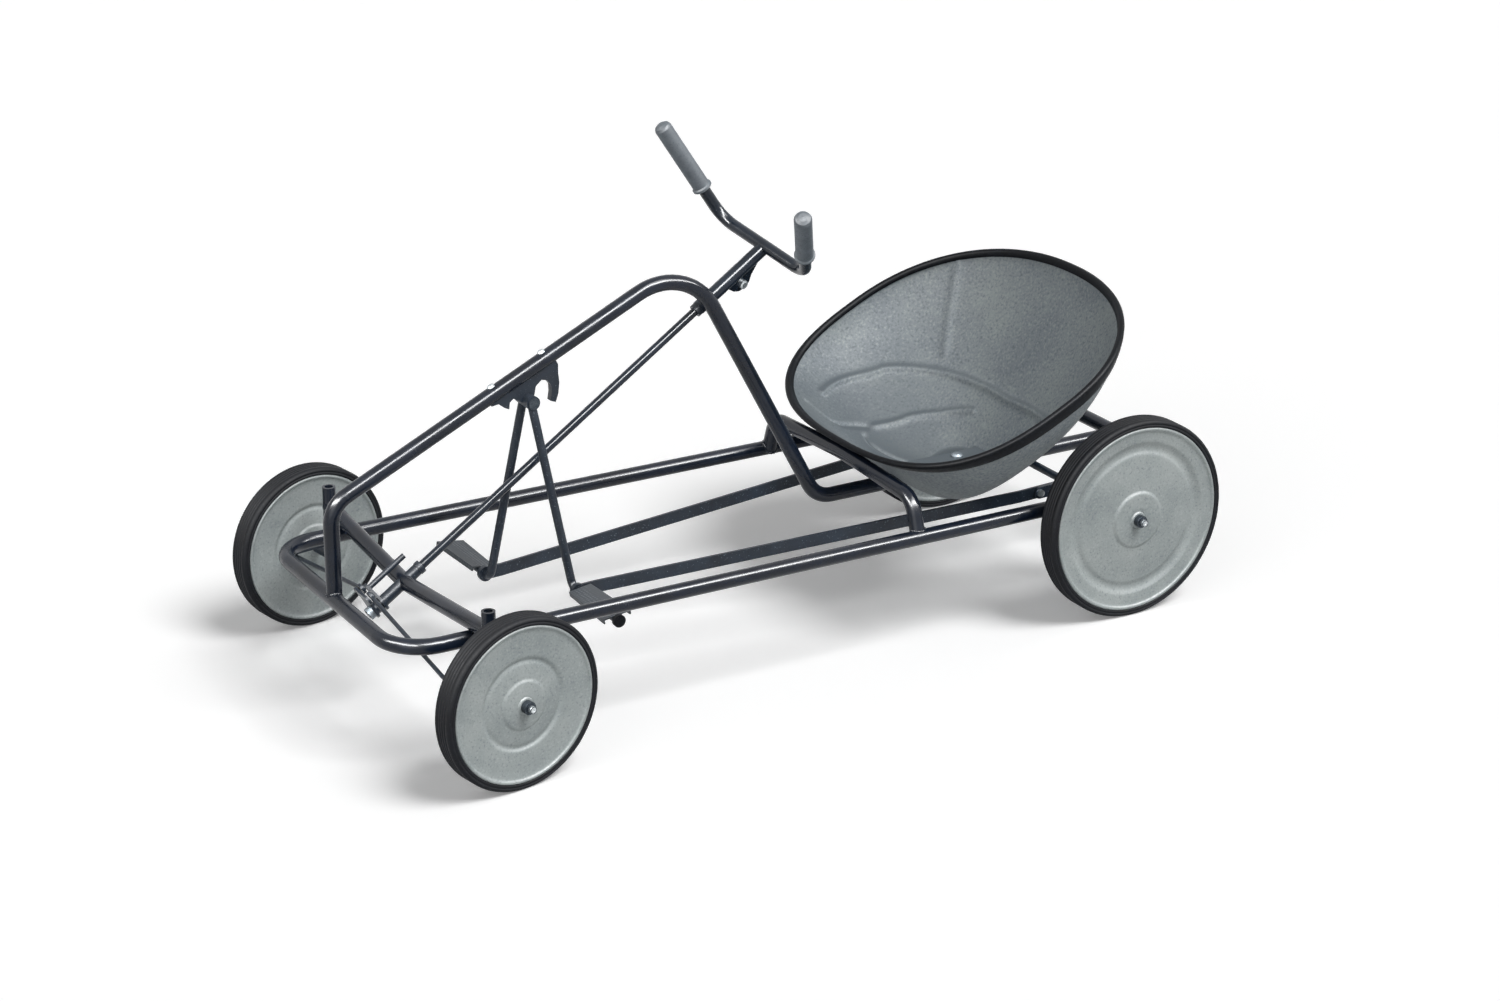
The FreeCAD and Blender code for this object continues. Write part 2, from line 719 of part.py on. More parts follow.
def build_pedal(name, side):
    """Lever, tread and end cap, built hanging straight and swung to the parked place."""
    pivot = pivot_place()[0]
    swing = lever_swing * side
    eye_inner = hanger_thickness / 2 + seat_gap
    eye_side = eye_inner + lever_eye_width / 2
    knob_end = pedal_outer_side + pedal_knob_length
    points = [pivot + V(0, eye_side, -lever_eye_radius + 2),
              pivot + V(0, lever_foot_side, -lever_length),
              pivot + V(0, knob_end - 1, -lever_length)]
    bar = bent_bar(points, [lever_foot_bend], lever_radius)
    low = pivot + Y_AXIS * eye_inner
    high = pivot + Y_AXIS * (eye_inner + lever_eye_width)
    lever = fused([bar, rod(low, high, lever_eye_radius)])
    lever = lever.cut(rod(low, high, pivot_pin_radius + running_clearance))

    foot = pivot - Z_AXIS * lever_length
    tread = build_tread(foot)
    knob = spun([(0, lever_radius + fixed_clearance), (0, pedal_knob_radius),
                 (pedal_knob_length - 2, pedal_knob_radius),
                 (pedal_knob_length, pedal_knob_radius - 3), (pedal_knob_length, 0),
                 (pedal_knob_length - 1, 0),
                 (pedal_knob_length - 1, lever_radius + fixed_clearance)],
                foot + Y_AXIS * pedal_outer_side, Y_AXIS)
    for prefix, shape in (("pedal_lever_", lever), ("pedal_tread_", tread),
                          ("pedal_cap_", knob)):
        add(prefix + name, turned(on_side(shape, side), pivot, Y_AXIS, swing))


def build_tread(foot):
    """Pressed tread on top of the lever's foot, with its long edges folded down."""
    top = lever_radius + fixed_clearance
    inner = pedal_inner_width / 2
    outer = pedal_outer_width / 2
    length = pedal_outer_side - pedal_inner_side
    outline = [(0, -inner), (length, -outer), (length, outer), (0, inner)]
    start = foot + V(0, pedal_inner_side, top + pedal_sheet / 2)
    sheet = plate(outline, start, Y_AXIS, X_AXIS, pedal_sheet)
    lips = []
    for sign in (1, -1):
        edge = [start + V(sign * inner, 0, pedal_sheet / 2),
                start + V(sign * outer, length, pedal_sheet / 2),
                start + V(sign * (outer - pedal_sheet), length, pedal_sheet / 2),
                start + V(sign * (inner - pedal_sheet), 0, pedal_sheet / 2)]
        lips.append(Part.Face(Part.makePolygon(edge + edge[:1])).extrude(V(0, 0, -pedal_lip)))
    return fused([sheet] + lips)


def foot_place(side):
    """Middle of a lever's foot as parked, in the middle plane of the kart."""
    pivot = pivot_place()[0]
    swing = math.radians(lever_swing * side)
    return pivot + V(-lever_length * math.sin(swing), 0, -lever_length * math.cos(swing))


def crank_place(side):
    return V(-side * crank_throw, 0, axle_height)


def build_push_rod(name, side):
    """Flat bar on edge from the lever's foot to the strap that holds the crank pin."""
    foot = foot_place(side) + Y_AXIS * rod_front_side
    pin = crank_place(side) + Y_AXIS * rod_rear_side
    rear = pin + Z_AXIS * rod_rise_over_pin
    half = rod_thickness / 2
    bends = [(0, 0), (rod_front_straight, 0)]
    span = foot.x - rear.x
    offset = rod_rear_side - rod_front_side
    bends.append((span - rod_rear_straight, offset))
    bar_end = span - boss_radius - 6
    bends.append((bar_end, offset))
    outline = [(a, b - half) for a, b in bends] + [(a, b + half) for a, b in reversed(bends)]
    drop = math.degrees(math.atan2(rear.z - foot.z, span))
    flat = plate(outline, foot, -X_AXIS, Y_AXIS, rod_height)
    bar = turned(flat, foot, Y_AXIS, drop)
    eye_half = Y_AXIS * (rod_eye_width / 2)
    bar = fused([bar, rod(foot - eye_half, foot + eye_half, rod_eye_radius)])
    bar = bar.cut(rod(foot - eye_half, foot + eye_half, lever_radius + running_clearance))

    strap_side = Y_AXIS * (half + strap_thickness / 2)
    bolt_places = []
    for number in range(2):
        distance = strap_start + number * strap_bolt_pitch
        slope = (rear.z - foot.z) / span
        bolt_places.append(rear + V(distance, 0, -slope * distance))
    first, second = bolt_places
    eye = pin + strap_side
    arm = link_plate(eye, first + strap_side, boss_radius, rod_height / 2,
                     strap_thickness, Y_AXIS)
    tail = link_plate(first + strap_side, second + strap_side, rod_height / 2,
                      rod_height / 2, strap_thickness, Y_AXIS)
    boss_half = Y_AXIS * (boss_width / 2)
    strap = fused([arm, tail, rod(pin - boss_half, pin + boss_half, boss_radius)])
    bush_radius = axle_radius + bush_wall
    strap = strap.cut(rod(pin - boss_half, pin + boss_half, bush_radius + fixed_clearance))
    bolt_radius = strap_bolt_radius
    bolts = []
    for place in bolt_places:
        hole = rod(place - Y_AXIS * 10, place + Y_AXIS * 10, bolt_radius + fixed_clearance)
        bar = bar.cut(hole)
        strap = strap.cut(hole)
        outer = half + strap_thickness
        bolts.append(spun([(-half - 3, 0), (-half - 3, 5), (-half, 5), (-half, bolt_radius),
                           (outer, bolt_radius), (outer, 5.5), (outer + 3.5, 5.5),
                           (outer + 4, 3), (outer + 4, 0)], place, Y_AXIS))
    bush = ring(pin - boss_half, pin + boss_half, bush_radius, axle_radius + fixed_clearance)
    journal = rod(pin - boss_half, pin + boss_half, axle_radius)
    pieces = {"push_rod_": [bar], "crank_strap_": [strap], "crank_strap_bolts_": bolts,
              "crank_bush_": [bush, journal]}
    for prefix, shapes in pieces.items():
        add(prefix + name, *[on_side(shape, side) for shape in shapes])


def build_crank_axle():
    """Rear axle bent from one bar with two opposed throws, parted at both crank pins."""
    web = crank_web_offset
    nut_start = rear_wheel_side + wheel_width / 2 + hub_overhang
    end_side = nut_start + nut_length + thread_show
    left = crank_place(LEFT)
    right = crank_place(RIGHT)
    centre = V(0, 0, axle_height)
    centre_points = [left + Y_AXIS * (rod_rear_side - journal_half),
                     left + Y_AXIS * (rod_rear_side - web),
                     centre + Y_AXIS * (rod_rear_side - web),
                     centre - Y_AXIS * (rod_rear_side - web),
                     right - Y_AXIS * (rod_rear_side - web),
                     right - Y_AXIS * (rod_rear_side - journal_half)]
    solids = [bent_bar(centre_points, [crank_web_bend] * 4, axle_radius)]
    for side, throw in ((LEFT, left), (RIGHT, right)):
        points = [throw + Y_AXIS * side * (rod_rear_side + journal_half),
                  throw + Y_AXIS * side * (rod_rear_side + web),
                  centre + Y_AXIS * side * (rod_rear_side + web),
                  centre + Y_AXIS * side * end_side]
        end = points[-1]
        cap_pin = rod(end - Y_AXIS * side, end + Y_AXIS * side * cap_pin_length,
                      cap_pin_radius)
        solids.append(fused([bent_bar(points, [crank_web_bend] * 2, axle_radius), cap_pin]))
    add("crank_axle", *solids)
    nuts = []
    for side in (LEFT, RIGHT):
        nuts.append(ring(V(0, side * nut_start, axle_height),
                         V(0, side * (nut_start + nut_length), axle_height), nut_radius,
                         axle_radius + fixed_clearance))
    add("rear_nuts", *nuts)


# ---- seat ----------------------------------------------------------------------------
tilt = math.radians(seat_tilt)
seat_back_along = V(-math.cos(tilt), 0, math.sin(tilt))
seat_down = V(-math.sin(tilt), 0, -math.cos(tilt))
seat_middle = V(seat_middle_x, 0, seat_middle_height)


def seat_section(share, inset):
    """Closed egg-shaped curve round the bucket at a share of its depth."""
    depth = seat_depth * share
    easing = share ** 1.7
    lip = seat_lip * (1 - (1 - share) ** 2.5)
    front = (seat_front_reach - lip
             + (seat_floor_front + seat_lip - seat_front_reach) * share ** 5 - inset)
    back = seat_back_reach + (seat_floor_back - seat_back_reach) * share ** 1.15 - inset
    width = seat_half_width + (seat_floor_half_width - seat_half_width) * easing - inset
    middle = (back - front) / 2
    half_length = (back + front) / 2
    points = []
    count = 20
    for number in range(count):
        angle = 2 * math.pi * number / count
        exponent = 2 / (2.2 if math.cos(angle) > 0 else 2.7)
        along = abs(math.cos(angle)) ** exponent * math.copysign(1, math.cos(angle))
        across = abs(math.sin(angle)) ** exponent * math.copysign(1, math.sin(angle))
        points.append(seat_middle + seat_down * depth
                      + seat_back_along * (middle + half_length * along)
                      + Y_AXIS * (width * across))
    curve = Part.BSplineCurve()
    curve.interpolate(points, PeriodicFlag=True)
    return Part.Wire(curve.toShape())


def seat_bolt_hole():
    low = V(seat_bolt_x, 0, spine_run_height - tube_radius - 5)
    return rod(low, low + Z_AXIS * 60, seat_bolt_radius + fixed_clearance)


def build_seat():
    shares = [0.0, 0.13, 0.3, 0.6, 0.85, 1.0]
    outer = Part.makeLoft([seat_section(share, 0) for share in shares], True, False)
    inner_sections = [seat_section(share * (1 - seat_wall / seat_depth), seat_wall)
                      for share in shares]
    inner = Part.makeLoft(inner_sections, True, False)
    channel_radius = tube_radius + seat_channel_gap
    channel = spine_channel(channel_radius)
    ridge = spine_channel(channel_radius + seat_wall)
    bolt_hole = seat_bolt_hole()
    shell = outer.cut(channel).cut(inner.cut(ridge)).cut(bolt_hole)
    shell = max(shell.Solids, key=lambda solid: solid.Volume)
    add("seat_shell", shell)

    rim = seat_section(0.0, seat_wall / 2)
    start = rim.Edges[0].valueAt(rim.Edges[0].FirstParameter)
    direction = rim.Edges[0].tangentAt(rim.Edges[0].FirstParameter)
    edging = swept(rim, start, direction, edging_radius)
    add("seat_edging", edging.cut(shell))

    saddle_start = V(seat_bolt_x, 0, spine_run_height) - X_AXIS * (saddle_length / 2)
    saddle_end = saddle_start + X_AXIS * saddle_length
    saddle = ring(saddle_start, saddle_end, channel_radius - fixed_clearance, tube_radius)
    below = Part.makeBox(saddle_length, 2 * channel_radius, channel_radius,
                         saddle_start - V(0, channel_radius, channel_radius))
    add("seat_saddle", saddle.cut(below).cut(bolt_hole))

    ridge_top = V(seat_bolt_x, 0, spine_run_height + channel_radius + seat_wall + seat_gap)
    nut_top = V(seat_bolt_x, 0, spine_run_height - tube_radius - seat_gap)
    shank_end = nut_top - Z_AXIS * seat_bolt_below
    head = [(0, 0), (0, 9), (1.5, 9), (4, 6), (5, 0)]
    bolt = fused([spun(head, ridge_top, Z_AXIS),
                  rod(shank_end, ridge_top + Z_AXIS, seat_bolt_radius)])
    add("seat_bolt", bolt)
    add("seat_wing_nut", wing_nut(nut_top))


def wing_nut(top):
    """Wing nut that hangs below top, with its wings along the kart."""
    bore = seat_bolt_radius + fixed_clearance
    body = spun([(0, bore), (0, 9), (10, 7), (10, bore)], top, -Z_AXIS)
    wings = []
    for sign in (1, -1):
        outline = [(sign * 5.5, 1.5), (sign * 12, 2.5), (sign * 19, 9), (sign * 18, 15),
                   (sign * 12, 14), (sign * 5.5, 8.5)]
        wings.append(plate(outline, top, X_AXIS, -Z_AXIS, 3))
    return body.multiFuse(wings)


def spine_channel(radius):
    """Slot along the spine, open downwards, that the seat's middle ridge straddles."""
    start = V(-200, 0, spine_run_height)
    return Part.makeCylinder(radius, 700, start, X_AXIS).fuse(
        Part.makeBox(700, 2 * radius, 150, start - V(0, radius, 150)))


def build_all():
    build_frame()
    build_column_bearings()
    build_column()
    build_handlebar()
    build_wheels()
    build_hanger()
    for name, side in SIDES.items():
        build_pedal(name, side)
        build_push_rod(name, side)
    build_crank_axle()
    build_seat()


def export_all():
    """Write one file per piece, with the origin in the middle of the footprint."""
    lean = math.radians(steer_angle)
    swing_out = front_wheel_side - kingpin_side
    foremost = (wheelbase + swing_out * math.sin(lean) + front_wheel_radius * math.cos(lean)
                + (wheel_width / 2 - 5.0) * math.sin(lean))
    rearmost = rear_bar_x - tube_radius
    shift = V(-(foremost + rearmost) / 2, 0, 0)
    os.makedirs("parts", exist_ok=True)
    for name, solids in parts.items():
        shape = solids[0] if len(solids) == 1 else Part.makeCompound(solids)
        shape = shape.copy()
        shape.translate(shift)
        if not shape.isValid() or not shape.Solids:
            print("check", name)
        shape.exportStep("parts/" + name + ".step")
    print(len(parts), "nodes, origin moved by", shift)


build_all()
export_all()
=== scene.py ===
# %% [markdown]
# # A child's pedal kart, from bare parts to finished surfaces
# The steel frame, wheels, levers and rods come ready made from the CAD part, each at its real
# place in metres. This lesson gives every one of them a finish, and models the few pieces that
# need more shape than plain solids have: the moulded seat and its edging, the rubber tyres, the
# pressed discs, the bright axle ends and the weld beads.

# %% Load the packed part
import json
import math
import bpy
import bmesh
import numpy as np
from mathutils import Matrix, Vector
from mathutils.kdtree import KDTree


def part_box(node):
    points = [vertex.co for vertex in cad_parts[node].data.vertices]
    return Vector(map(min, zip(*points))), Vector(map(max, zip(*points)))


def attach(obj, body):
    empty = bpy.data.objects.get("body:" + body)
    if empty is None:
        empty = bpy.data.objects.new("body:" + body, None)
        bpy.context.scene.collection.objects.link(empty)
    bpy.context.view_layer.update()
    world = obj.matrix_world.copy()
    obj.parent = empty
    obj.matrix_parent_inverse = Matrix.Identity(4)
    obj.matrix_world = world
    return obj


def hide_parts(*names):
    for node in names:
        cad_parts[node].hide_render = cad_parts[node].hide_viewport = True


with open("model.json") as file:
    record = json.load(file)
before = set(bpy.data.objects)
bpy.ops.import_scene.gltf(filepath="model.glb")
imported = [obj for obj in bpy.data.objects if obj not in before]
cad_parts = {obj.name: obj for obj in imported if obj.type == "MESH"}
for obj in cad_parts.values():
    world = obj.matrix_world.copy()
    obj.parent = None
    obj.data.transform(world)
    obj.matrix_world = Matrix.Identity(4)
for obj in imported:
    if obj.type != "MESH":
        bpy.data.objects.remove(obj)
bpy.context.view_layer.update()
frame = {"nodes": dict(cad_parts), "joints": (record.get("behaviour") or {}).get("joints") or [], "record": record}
nodes = frame["nodes"]
joints = {joint["name"]: joint for joint in frame["joints"]}
mounts = {mount["name"]: mount for mount in frame["record"]["mounts"]}
scene = bpy.context.scene

# %% [markdown]
# The camera stands in front of the kart on its left side, a little above it, and looks slightly
# down. A long lens keeps the wheels round and the side rails almost parallel. Its direction is
# built from three plain angles, so that each can be changed by itself.

# %% Camera
camera_place = Vector((2.1781, 3.6967, 1.8716))
yaw, pitch, roll = (math.radians(angle) for angle in (-120.56, 21.44, -0.24))
looking = Vector((math.cos(yaw) * math.cos(pitch), math.sin(yaw) * math.cos(pitch),
                  -math.sin(pitch)))
level_right = looking.cross(Vector((0, 0, 1))).normalized()
level_down = looking.cross(level_right)
right = level_right * math.cos(roll) + level_down * math.sin(roll)
up = level_right * math.sin(roll) - level_down * math.cos(roll)

camera = bpy.data.objects.new("camera", bpy.data.cameras.new("camera"))
scene.collection.objects.link(camera)
camera.data.sensor_width = 36
camera.data.lens = 77.198
camera.matrix_world = (Matrix.Translation(camera_place)
                       @ Matrix((right, up, -looking)).transposed().to_4x4())
scene.camera = camera
scene.view_settings.view_transform = "Standard"
print("camera", round((camera_place - Vector((0, 0, 0.3))).length, 2), "m from the kart")

# %% [markdown]
# Two helpers serve every finish. Colours are picked as sRGB hex values, as a paint chart gives
# them, and shaders want linear light, so one function turns the one into the other. The other
# function adds a shader node, sets its inputs and joins it to the nodes before it.


# %% Colour and node helpers
def linear(hex_colour):
    channels = [int(hex_colour[i:i + 2], 16) / 255 for i in (1, 3, 5)]
    return [c / 12.92 if c <= 0.04045 else ((c + 0.055) / 1.055) ** 2.4
            for c in channels] + [1.0]


def add_node(tree, kind, settings=None, links=None):
    """Adds a node; settings are attributes or input values, links are sockets to join."""
    node = tree.nodes.new(kind)
    for name, value in (settings or {}).items():
        if isinstance(name, str) and hasattr(node, name):
            setattr(node, name, value)
        else:
            node.inputs[name].default_value = value
    for name, socket in (links or {}).items():
        tree.links.new(socket, node.inputs[name])
    return node


print("a dark enamel in linear light:", [round(c, 4) for c in linear("#232a33")[:3]])

# %% [markdown]
# Paint, rubber and plastic all vary a little from place to place, so each finish starts with a
# shader and a few noise patterns. The size of a pattern is given in millimetres. Noise scale is
# how many patches fit in a metre, so it is 1000 over that size, and detail says how many finer
# layers lie on the first.


# %% Start of a finish
def new_finish(name, metallic, roughness, ior=None, **patterns):
    """A material, its tree, its shader and its noise sockets by name, with their place.

    Each pattern is a pair of size in mm and detail. Metals get no ior and keep the default.
    """
    material = bpy.data.materials.new(name)
    material.use_nodes = True
    tree = material.node_tree
    tree.nodes.clear()
    shader = add_node(tree, "ShaderNodeBsdfPrincipled",
                      {"Metallic": metallic, "Roughness": roughness})
    if ior:
        shader.inputs["IOR"].default_value = ior
    add_node(tree, "ShaderNodeOutputMaterial", links={"Surface": shader.outputs[0]})
    place = add_node(tree, "ShaderNodeTexCoord").outputs["Object"]
    noise = {"place": place}
    for pattern, (size_mm, detail) in patterns.items():
        noise[pattern] = add_node(tree, "ShaderNodeTexNoise",
                                  {"Scale": 1000 / size_mm, "Detail": detail, "Roughness": 0.6},
                                  {"Vector": place}).outputs["Fac"]
    return material, tree, shader, noise


print("a 60 mm pattern has a noise scale of", round(1000 / 60, 1))

# %% [markdown]
# Stains, flecks and dust are one idea: a second colour lies over the first where a pattern is
# strong. The pattern's value is stretched from nothing to the most that the second colour may
# cover, and that share mixes the two. Either colour is a hex value or an earlier mix.


# %% One tone over another
def laid_over(tree, tone, colour, pattern, start, end, most=1.0):
    """Lays a colour over a tone as the pattern's value goes from start to end."""
    share = add_node(tree, "ShaderNodeMapRange",
                     {"From Min": start, "From Max": end, "To Max": most}, {"Value": pattern})
    mix = add_node(tree, "ShaderNodeMix", {"data_type": "RGBA"}, {0: share.outputs["Result"]})
    # inputs 6 and 7 of the mix are its two colours
    for slot, layer in ((6, tone), (7, colour)):
        if isinstance(layer, str):
            mix.inputs[slot].default_value = linear(layer)
        else:
            tree.links.new(layer, mix.inputs[slot])
    return mix.outputs[2]


print("made:", laid_over.__doc__)

# %% [markdown]
# The frame is steel tube in stove enamel: a thin, hard, glossy coat baked on in one go. It is
# almost black with some blue in it, pools a little darker and lighter, has the faint ripple
# that painters call orange peel, and gives a sharp streak of light along every tube. Chips and
# rubbed spots show as slightly paler flecks. Paint is a dielectric, so metallic stays at 0. The
# levers and brackets have a thinner, more satin coat, and the column is rubbed paler.


# %% Stove enamel
def enamel(name, deep, pale, fleck, roughness, fleck_share=0.72):
    # flecks of wear are drawn 2.5 mm wide; real ones are finer, and wouldn't show
    material, tree, shader, noise = new_finish(name, 0.0, roughness, 1.52, pools=(60, 4),
                                               flecks=(2.5, 5), handling=(25, 3),
                                               orange_peel=(3.5, 1))
    body = laid_over(tree, deep, pale, noise["pools"], 0.3, 0.72)
    wear = add_node(tree, "ShaderNodeMapRange",
                    {"From Min": fleck_share, "From Max": fleck_share + 0.06},
                    {"Value": noise["flecks"]}).outputs["Result"]
    tree.links.new(laid_over(tree, body, fleck, wear, 0, 1), shader.inputs["Base Color"])
    gloss = add_node(tree, "ShaderNodeMapRange",
                     {"From Min": 0.3, "From Max": 0.75, "To Min": roughness * 0.8,
                      "To Max": roughness * 1.35}, {"Value": noise["handling"]})
    tree.links.new(gloss.outputs["Result"], shader.inputs["Roughness"])
    shader.inputs["Specular IOR Level"].default_value = 0.34
    ripple = add_node(tree, "ShaderNodeBump", {"Distance": 0.06 / 1000, "Strength": 0.3},
                      {"Height": noise["orange_peel"]})
    chips = add_node(tree, "ShaderNodeBump", {"Distance": 0.05 / 1000, "Strength": 0.6},
                     {"Height": wear, "Normal": ripple.outputs["Normal"]})
    tree.links.new(chips.outputs["Normal"], shader.inputs["Normal"])
    return material


frame_enamel = enamel("stove_enamel_blue_black", "#08101c", "#142032", "#54606c", 0.22)
linkage_enamel = enamel("stove_enamel_satin", "#101a26", "#243140", "#5f6b77", 0.36, 0.62)
column_enamel = enamel("stove_enamel_column", "#0e1824", "#1e2b3a", "#707c87", 0.2, 0.66)
print("enamels:", [m.name for m in (frame_enamel, linkage_enamel, column_enamel)])

# %% [markdown]
# The wheel discs are pressed from sheet steel and painted pale grey. The paint is close to
# matt, and years of handling have left it finely speckled. The pressing itself carries the
# rings, so the finish only adds grain, soft stains and the slight waviness of thin sheet.

# %% Painted wheel discs
# paint grain is about 0.5 mm; it is drawn at 3 mm so that it still shows
disc_paint, tree, shader, noise = new_finish("pressed_steel_grey_paint", 0.0, 0.5, 1.5,
                                             stain=(55, 5), grain=(3, 4), waves=(30, 2))
tone = laid_over(tree, "#8b9495", "#9ca4a4", noise["stain"], 0.28, 0.5)
tone = laid_over(tree, tone, "#abb2b1", noise["stain"], 0.5, 0.75)
tone = laid_over(tree, tone, "#656e73", noise["grain"], 0.56, 0.68, 0.55)
tone = laid_over(tree, tone, "#bac0bf", noise["grain"], 0.44, 0.34, 0.5)
tree.links.new(tone, shader.inputs["Base Color"])
gloss = add_node(tree, "ShaderNodeMapRange",
                 {"From Min": 0.3, "From Max": 0.7, "To Min": 0.42, "To Max": 0.6},
                 {"Value": noise["grain"]})
tree.links.new(gloss.outputs["Result"], shader.inputs["Roughness"])
waves = add_node(tree, "ShaderNodeBump", {"Distance": 0.5 / 1000, "Strength": 0.25},
                 {"Height": noise["waves"]})
relief = add_node(tree, "ShaderNodeBump", {"Distance": 0.1 / 1000, "Strength": 0.35},
                  {"Height": noise["grain"], "Normal": waves.outputs["Normal"]})
tree.links.new(relief.outputs["Normal"], shader.inputs["Normal"])
print(disc_paint.name, "has", len(tree.nodes), "nodes")

# %% [markdown]
# The tyres are solid black rubber, moulded in one piece. Rubber is dark but never pure black,
# and its surface scatters light, so it is rough with a soft grey bloom and road dust on it.
# The pedal caps are the same stuff with more polish. The seat's edging is extruded vinyl: as
# dark, but smoother, and wiped clean by clothes.


# %% Rubber and edging vinyl
def rubber(name, dark, pan_painted_shade, dust, roughness, grain_mm, specular=0.12):
    # real grain is under a millimetre; it is drawn coarser so that it shows
    material, tree, shader, noise = new_finish(name, 0.0, roughness, 1.52, bloom=(40, 4),
                                               grain=(grain_mm, 4))
    tone = laid_over(tree, dark, pan_painted_shade, noise["bloom"], 0.3, 0.75)
    tone = laid_over(tree, tone, dust, noise["grain"], 0.54, 0.72, 0.55)
    tree.links.new(tone, shader.inputs["Base Color"])
    gloss = add_node(tree, "ShaderNodeMapRange",
                     {"From Min": 0.3, "From Max": 0.7, "To Min": roughness * 0.85,
                      "To Max": roughness * 1.2}, {"Value": noise["grain"]})
    tree.links.new(gloss.outputs["Result"], shader.inputs["Roughness"])
    shader.inputs["Specular IOR Level"].default_value = specular
    relief = add_node(tree, "ShaderNodeBump", {"Distance": 0.15 / 1000, "Strength": 0.6},
                      {"Height": noise["grain"]})
    tree.links.new(relief.outputs["Normal"], shader.inputs["Normal"])
    return material


tyre_rubber = rubber("solid_rubber_tyre", "#0a0c11", "#14171d", "#2c3037", 0.62, 3)
cap_rubber = rubber("rubber_cap", "#0e1116", "#1a1e25", "#363b42", 0.55, 2.5)
edging_vinyl = rubber("extruded_vinyl_edging", "#06080c", "#0f1319", "#252b33", 0.45, 4, 0.08)
print("dark finishes:", [m.name for m in (tyre_rubber, cap_rubber, edging_vinyl)])

# %% [markdown]
# The grips are moulded vinyl in mid grey, slipped over the bar ends. Vinyl is soft and satin,
# and hands polish it unevenly, so the sheen wanders while the colour hardly does.

# %% Grip vinyl
# the moulding's grain is finer than 1 mm; it is drawn at 2.2 mm so that it shows
grip_vinyl, tree, shader, noise = new_finish("moulded_vinyl_grip", 0.0, 0.55, 1.53,
                                             polish=(22, 3), grain=(2.2, 4))
tone = laid_over(tree, "#525b64", "#68727a", noise["polish"], 0.3, 0.75)
tone = laid_over(tree, tone, "#3d464f", noise["grain"], 0.55, 0.7, 0.6)
tree.links.new(tone, shader.inputs["Base Color"])
gloss = add_node(tree, "ShaderNodeMapRange",
                 {"From Min": 0.3, "From Max": 0.7, "To Min": 0.45, "To Max": 0.68},
                 {"Value": noise["grain"]})
tree.links.new(gloss.outputs["Result"], shader.inputs["Roughness"])
relief = add_node(tree, "ShaderNodeBump", {"Distance": 0.12 / 1000, "Strength": 0.5},
                  {"Height": noise["grain"]})
tree.links.new(relief.outputs["Normal"], shader.inputs["Normal"])
print(grip_vinyl.name, "has", len(tree.nodes), "nodes")

# %% [markdown]
# Bolts, nuts and bushes stay bare: the fasteners are zinc plate or blackened steel, and the
# bushes are sintered bronze. Real metal colour goes in the base colour with metallic at 1, and
# the roughness makes the difference between bright plating and a dull, oily bush.


# %% Bare metals
def bare_metal(name, bright, dull, roughness):
    material, tree, shader, noise = new_finish(name, 1.0, roughness, cloud=(4, 4),
                                               grain=(1.2, 2))
    tone = laid_over(tree, dull, bright, noise["cloud"], 0.3, 0.7)
    tree.links.new(tone, shader.inputs["Base Color"])
    gloss = add_node(tree, "ShaderNodeMapRange",
                     {"From Min": 0.3, "From Max": 0.7, "To Min": roughness * 1.5,
                      "To Max": roughness * 0.8}, {"Value": noise["cloud"]})
    tree.links.new(gloss.outputs["Result"], shader.inputs["Roughness"])
    relief = add_node(tree, "ShaderNodeBump", {"Distance": 0.03 / 1000, "Strength": 0.5},
                      {"Height": noise["grain"]})
    tree.links.new(relief.outputs["Normal"], shader.inputs["Normal"])
    return material


zinc_plate = bare_metal("bright_zinc_plate", "#cfd4d6", "#9ba2a6", 0.28)
dull_zinc = bare_metal("weathered_zinc_plate", "#8f969b", "#5f676d", 0.45)
black_steel = bare_metal("oil_blackened_steel", "#4a5056", "#2a2f35", 0.4)
bush_bronze = bare_metal("sintered_bronze", "#a98a5a", "#7d6640", 0.42)
print("metals:", [m.name for m in (zinc_plate, dull_zinc, black_steel, bush_bronze)])

# %% [markdown]
# The seat is a single shell of moulded plastic, grey all through, with a fine speckle in it.
# It is satin rather than glossy, so it takes soft light well and shows every crease of the
# mould. A darker tone is painted into the pan where the shell faces up. It is painted shade
# that stands for the shade in the deep bucket, and the surface's own direction says where it lies.

# %% Seat plastic
# the speckle is about 1 mm on the real shell; it is drawn at 4 mm so that it shows
seat_plastic, tree, shader, noise = new_finish("moulded_plastic_seat", 0.0, 0.52, 1.49,
                                               cloud=(110, 4), speckle=(4, 5), waves=(45, 2))
tone = laid_over(tree, "#838b91", "#8f979b", noise["cloud"], 0.3, 0.5)
tone = laid_over(tree, tone, "#9aa2a3", noise["cloud"], 0.5, 0.72)
tone = laid_over(tree, tone, "#5f6870", noise["speckle"], 0.53, 0.68, 0.6)
tone = laid_over(tree, tone, "#b3b9b9", noise["speckle"], 0.46, 0.34, 0.5)
# painted shade: where the shell faces up, in the pan, the tone is darkened as if shaded
normal = add_node(tree, "ShaderNodeNewGeometry").outputs["Normal"]
facing_up = add_node(tree, "ShaderNodeSeparateXYZ", links={"Vector": normal}).outputs["Z"]
pan_painted_shade = laid_over(tree, "#3f474e", "#5c656b", noise["speckle"], 0.3, 0.7)
tone = laid_over(tree, tone, pan_painted_shade, facing_up, 0.6, 0.9, 0.75)
tree.links.new(tone, shader.inputs["Base Color"])
gloss = add_node(tree, "ShaderNodeMapRange",
                 {"From Min": 0.3, "From Max": 0.7, "To Min": 0.46, "To Max": 0.6},
                 {"Value": noise["speckle"]})
tree.links.new(gloss.outputs["Result"], shader.inputs["Roughness"])
shader.inputs["Specular IOR Level"].default_value = 0.12
waves = add_node(tree, "ShaderNodeBump", {"Distance": 0.8 / 1000, "Strength": 0.2},
                 {"Height": noise["waves"]})
